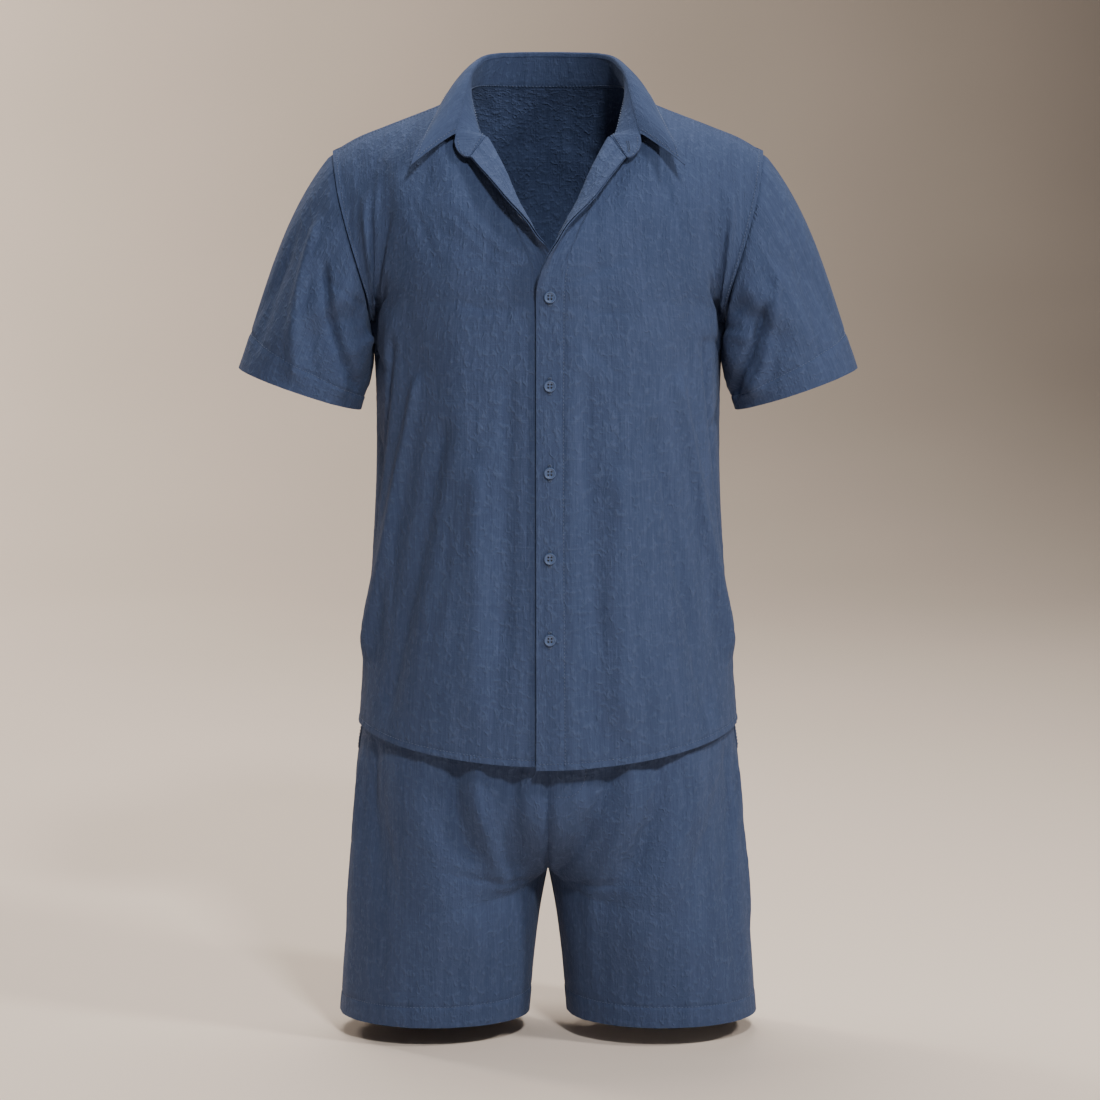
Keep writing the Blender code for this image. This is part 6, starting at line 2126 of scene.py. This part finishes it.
@dataclass
class Buttons:
    """The buttons, their thread and the buttonholes."""

    kit: Wardrobe
    shirt: Shirt
    radius: float = 0.0060
    height: float = 0.0022
    rim: float = 0.0013
    dish: float = 0.0009
    hole_radius: float = 0.00106
    hole_spacing: float = 0.0032
    hole_length: float = 0.0165
    column: float = 0.007
    front_rise: float = 0.783
    hole_stitches: int = 24
    bar_stitches: int = 22
    facing_hole: Size = (-0.62, 0.105)
    stand_hole: Size = (-0.93, 0.5)
    drops: tuple[float, ...] = (0.0000, 0.0902, 0.1791, 0.2668, 0.3504)

    def blank(self) -> bpy.types.Mesh:
        """The mesh of one button, turned and bored.

        Returns:
            The mesh.
        """
        r, h, rim, dish = self.radius, self.height, self.rim, self.dish
        profile = [(0.0, h - dish), (r - rim - 0.0006, h - dish), (r - rim - 0.0002, h - dish * 0.8),
                   (r - rim, h - 0.0002), (r - rim * 0.75, h), (r - 0.0004, h - 0.0001),
                   (r - 0.0001, h - 0.0005),
                   (r, h - 0.0009), (r - 0.0003, 0.0006), (r - 0.0009, 0.0001), (r - 0.0018, 0.0), (0.0, 0.0)]
        turns = 48
        angle = np.arange(turns) * 2 * math.pi / turns
        places = [(0.0, 0.0, profile[0][1])]
        for x, z in profile[1:-1]:
            places += [(x * math.cos(a), x * math.sin(a), z) for a in angle]
        places.append((0.0, 0.0, 0.0))
        rings = len(profile) - 2
        faces = [(0, 1 + k, 1 + (k + 1) % turns) for k in range(turns)]
        for ring in range(rings - 1):
            base = 1 + ring * turns
            for k in range(turns):
                n = (k + 1) % turns
                faces.append((base + k, base + turns + k, base + turns + n, base + n))
        last = 1 + (rings - 1) * turns
        faces += [(len(places) - 1, last + (k + 1) % turns, last + k) for k in range(turns)]
        body = placed("button_blank", mesh_of("button_blank", places, faces))
        cutter = self.pins()
        cut = body.modifiers.new("holes", "BOOLEAN")
        cut.operation = "DIFFERENCE"
        cut.object = cutter
        graph = bpy.context.evaluated_depsgraph_get()
        made = bpy.data.meshes.new_from_object(body.evaluated_get(graph))
        bpy.data.objects.remove(body)
        bpy.data.objects.remove(cutter)
        made.materials.clear()
        made.materials.append(self.kit.button_material)
        made.shade_smooth()
        made.set_sharp_from_angle(angle=math.radians(40))
        return made

    def pins(self) -> bpy.types.Object:
        """Four round pins, which bore the holes down to a thin floor near the button's back, where its material
        paints shade.

        Returns:
            The pins as one object.
        """
        places, faces = [], []
        sides = 16
        for quarter in range(4):
            centre = math.pi / 4 + quarter * math.pi / 2
            reach = self.hole_spacing / math.sqrt(2)
            cx, cy = reach * math.cos(centre), reach * math.sin(centre)
            base = len(places)
            for z in (0.0003, 0.006):
                for k in range(sides):
                    a = k * 2 * math.pi / sides
                    places.append((cx + self.hole_radius * math.cos(a), cy + self.hole_radius * math.sin(a), z))
            faces.append(tuple(base + k for k in range(sides))[::-1])
            faces.append(tuple(base + sides + k for k in range(sides)))
            for k in range(sides):
                n = (k + 1) % sides
                faces.append((base + k, base + n, base + sides + n, base + sides + k))
        return placed("button_pins", mesh_of("button_pins", places, faces))

    def seat(self, node: str) -> tuple[Array, Array, Array, Array]:
        """Where a button's solid lies.

        Args:
            node: the solid's name.

        Returns:
            The middle of its back, and its side, top and outward ways.
        """
        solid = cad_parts[node]
        places = np.array([vertex.co[:] for vertex in solid.data.vertices])
        low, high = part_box(node)
        centre = (np.array(low) + np.array(high)) / 2
        out = np.linalg.svd(places - places.mean(axis=0))[2][2]
        toward = centre - np.array((0.0, 0.02, centre[2] - 0.01 if node.endswith("collar") else centre[2]))
        if node.endswith("open"):
            toward = -toward
        out = out * np.sign(out @ toward)
        side = unit(np.cross((0.0, 0.0, 1.0), out))
        return centre - out * self.height / 2, side, np.cross(out, side), out

    def build(self, front: Panel, stand: Panel) -> None:
        """Builds the buttons, their threads and the buttonholes.

        Args:
            front: the shirt's left front.
            stand: the collar's stand.
        """
        mesh = self.blank()
        thread = Stitching("button_threads", self.kit.thread_material, self.kit.thread.slot, radius=0.00022)
        names = [f"shirt_button_{n}" for n in (1, 2, 3, 4, 5)] + ["shirt_button_open", "shirt_button_collar"]
        for node in names:
            at, side, top, out = self.seat(node)
            made = placed(node.replace("shirt_", "sewn_"), mesh)
            for k in range(3):
                for axis, column in enumerate((side, top, out, at)):
                    made.matrix_world[k][axis] = column[k]
            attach(made, "root")
            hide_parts(node)
            reach = self.hole_spacing / 2
            lifted = at + out * (self.height - self.dish + 0.0001)
            for way in (-1, 1):
                start = lifted + side * way * reach - top * (reach - 0.0004)
                thread.bar(start, start + top * (2 * reach - 0.0008), out)
            log.info("%s: button", made.name)
        thread.build()
        self.build_holes(front, stand)

    def build_holes(self, front: Panel, stand: Panel) -> None:
        """The buttonholes of the left front and of the collar's stand, each a worked slit.

        Args:
            front: the shirt's left front.
            stand: the collar's stand.
        """
        thread = Stitching("buttonhole_threads", self.kit.thread_material, self.kit.thread.slot, radius=0.00036)
        shirt = self.shirt
        for drop in self.drops:
            middle = shirt.lower_share * (1 - drop / (shirt.chest_front_z - shirt.hem_centre_z))
            self.work_hole(thread, front, self.column, middle, False)
        column, rise = self.facing_hole
        self.work_hole(thread, front, column, shirt.lower_share + rise, True)
        size = self.hole_length
        for share in np.linspace(-0.5, 0.5, self.bar_stitches) * size / stand.size[0]:
            for way in (-1, 1):
                across = self.stand_hole[0] + np.array([share, share])
                up = self.stand_hole[1] + way * np.array([0.02, 0.06])
                ways = stand.spot(across, up, stand.inward)
                places = stand.spot(across, up) + ways * 0.0023
                thread.bar(places[0], places[1], unit(ways[0]))
        thread.build()

    def work_hole(self, thread: Stitching, front: Panel, column: float, middle: float, inside: bool) -> None:
        """One upright buttonhole: two rows of close stitches and a bar at each end.

        Args:
            thread: what gathers the stitches.
            front: the front.
            column: the hole's place across.
            middle: its middle up the front.
            inside: whether it shows on the facing.
        """
        half = self.hole_length / 2 / self.front_rise
        width = self.shirt.size[0] if column > 0 else 0.022
        for rise in np.linspace(-half, half, self.hole_stitches):
            up = middle + rise
            for way in (-1, 1):
                across = column + way * np.array((0.00020, 0.00150)) / width
                self.thread_on(thread, front, across, np.array((up, up)), inside)
        for end in (-1, 1):
            for k in range(3):
                up = middle + end * (half + (k - 1) * 0.0005 / self.front_rise)
                across = column + np.array((-0.00155, 0.00155)) / width
                self.thread_on(thread, front, across, np.array((up, up)), inside)

    def thread_on(self, thread: Stitching, front: Panel, across: Array, up: Array, inside: bool) -> None:
        """One thread on a front's outer face, or on its facing.

        Args:
            thread: what gathers the stitches.
            front: the front.
            across: places of its two ends across.
            up: their shares up the front.
            inside: whether it lies on the facing.
        """
        ways = unit(front.spot(across, up, front.inward))
        depth = 0.0030 if inside else 0.0
        sense = 1.0 if inside else -1.0
        places = front.spot(across, up) + ways * (depth + 0.0001 * sense)
        thread.bar(places[0], places[1], ways[0] * sense)


@dataclass(frozen=True)
class Paper:
    """Seamless warm studio paper."""

    name: str = "studio_paper"
    colour: Colour = (0.92, 0.775, 0.655, 1.0)
    painted_shade: Colour = (0.10, 0.080, 0.064, 1.0)

    def make(self) -> bpy.types.Material:
        """The material, with a faint tooth and painted shade that deepens its tone towards the upper right.

        Returns:
            The material.
        """
        graph = Graph(self.name)
        place = graph.node("ShaderNodeTexCoord").outputs["Object"]
        tooth = graph.noise(place, (320, 320, 320), 0.0, 2.0)
        clouds = graph.noise(place, (0.7, 0.7, 0.7), 0.0, 2.0)
        parts = graph.node("ShaderNodeSeparateXYZ", {}, {0: place})
        x, y = Wire(graph, parts.outputs[0]), Wire(graph, parts.outputs[1])
        # Painted shade: a mask, broken up by soft clouds, that darkens the paper towards the right and further
        # back, where the light falls off.
        rightward = (x * 0.27 + 0.48 + (clouds - 0.5) * 0.3).clamped()
        backward = (y * 0.20).clamped()
        tone = graph.blended(rightward * backward, self.colour, self.painted_shade)
        raised = graph.node("ShaderNodeBump", {}, {"Strength": 0.05, "Distance": 0.0003, "Height": tooth})
        return graph.dress({"Base Color": tone, "Normal": raised.outputs[0], "Roughness": 0.95})


@dataclass
class Studio:
    """Floor, backdrop, soft lights and the camera."""

    floor_z: float = -0.980
    camera_at: Triple = (0.0021, -4.6, 0.11)
    aim: Triple = (0.0021, 0.0, -0.467)
    lens: float = 144.5
    sweep_half: float = 12.0
    flat_to: float = 3.4
    sweep_radius: float = 3.0

    def build(self) -> None:
        """Builds the studio."""
        paper = Paper().make()
        half, radius = self.sweep_half, self.sweep_radius
        profile = [(-half, self.floor_z)]
        profile += [(self.flat_to + radius * math.sin(a), self.floor_z + radius - radius * math.cos(a))
                    for a in np.linspace(0.0, math.pi / 2, 33)]
        places, faces = [], []
        for y, z in profile:
            places += [(-half, y, z), (half, y, z)]
        for k in range(len(profile) - 1):
            faces.append((2 * k, 2 * k + 1, 2 * k + 3, 2 * k + 2))
        mesh = mesh_of("studio_sweep", places, faces)
        mesh.materials.append(paper)
        mesh.shade_smooth()
        sweep = placed("studio_sweep", mesh)
        middle = (0.0, 0.0, -0.45)
        self.light("key", (2.7, -1.6, 1.9), middle, 0.45, 66.0, (1.0, 0.97, 0.94))
        self.light("front", (0.8, -3.0, 2.1), (0.0, 0.0, -0.2), 0.4, 90.0, (0.99, 0.99, 1.0))
        self.light("crown", (-0.2, 0.9, 2.3), (0.0, 0.2, -0.9), 1.6, 75.0, (1.0, 0.96, 0.90))
        self.light("wash", (-3.4, 2.9, 2.4), (-1.0, 5.4, -0.4), 1.2, 190.0, (1.0, 0.94, 0.87))
        world = bpy.data.worlds.new("studio_air")
        bpy.context.scene.world = world
        world.use_nodes = True
        world.node_tree.nodes["Background"].inputs[0].default_value = (0.86, 0.85, 0.84, 1.0)
        world.node_tree.nodes["Background"].inputs[1].default_value = 0.10
        lens = bpy.data.cameras.new("photo_camera")
        lens.lens = self.lens
        lens.sensor_width = 36.0
        camera = placed("photo_camera", lens)
        camera.location = self.camera_at
        self.point_at(camera, self.aim)
        bpy.context.scene.camera = camera

    def light(self, name: str, place: Triple, aim: Triple, size: float,
              power: float, colour: Triple) -> None:
        """A square soft light that looks at aim.

        Args:
            name: the light's name.
            place: where it stands.
            aim: where it looks.
            size: its side in metres.
            power: watts.
            colour: its colour.
        """
        lamp = bpy.data.lights.new(name, "AREA")
        lamp.size = size
        lamp.energy = power
        lamp.color = colour
        made = placed(name, lamp)
        made.location = place
        self.point_at(made, aim)

    def point_at(self, thing: bpy.types.Object, place: Triple) -> None:
        """Turns a light or camera towards a place."""
        way = Vector(place) - thing.location
        thing.rotation_euler = way.to_track_quat("-Z", "Y").to_euler()


def note_sizes() -> None:
    """Updates the view layer."""
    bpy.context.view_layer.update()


def main() -> None:
    """Builds the set and its studio."""
    logging.basicConfig(level=logging.INFO, format="%(message)s")
    kit = Wardrobe()
    shirt = Shirt(kit)
    front = shirt.build()
    stand = Collar(kit, shirt).build()
    Shorts(kit).build()
    Buttons(kit, shirt).build(front, stand)
    for stitching in (kit.shirt_thread, kit.shorts_thread):
        piece = stitching.build()
        log.info("%s: %d stitches", piece.name, len(stitching.bars))
    Studio().build()
    note_sizes()


if __name__ == "__main__":
    main()
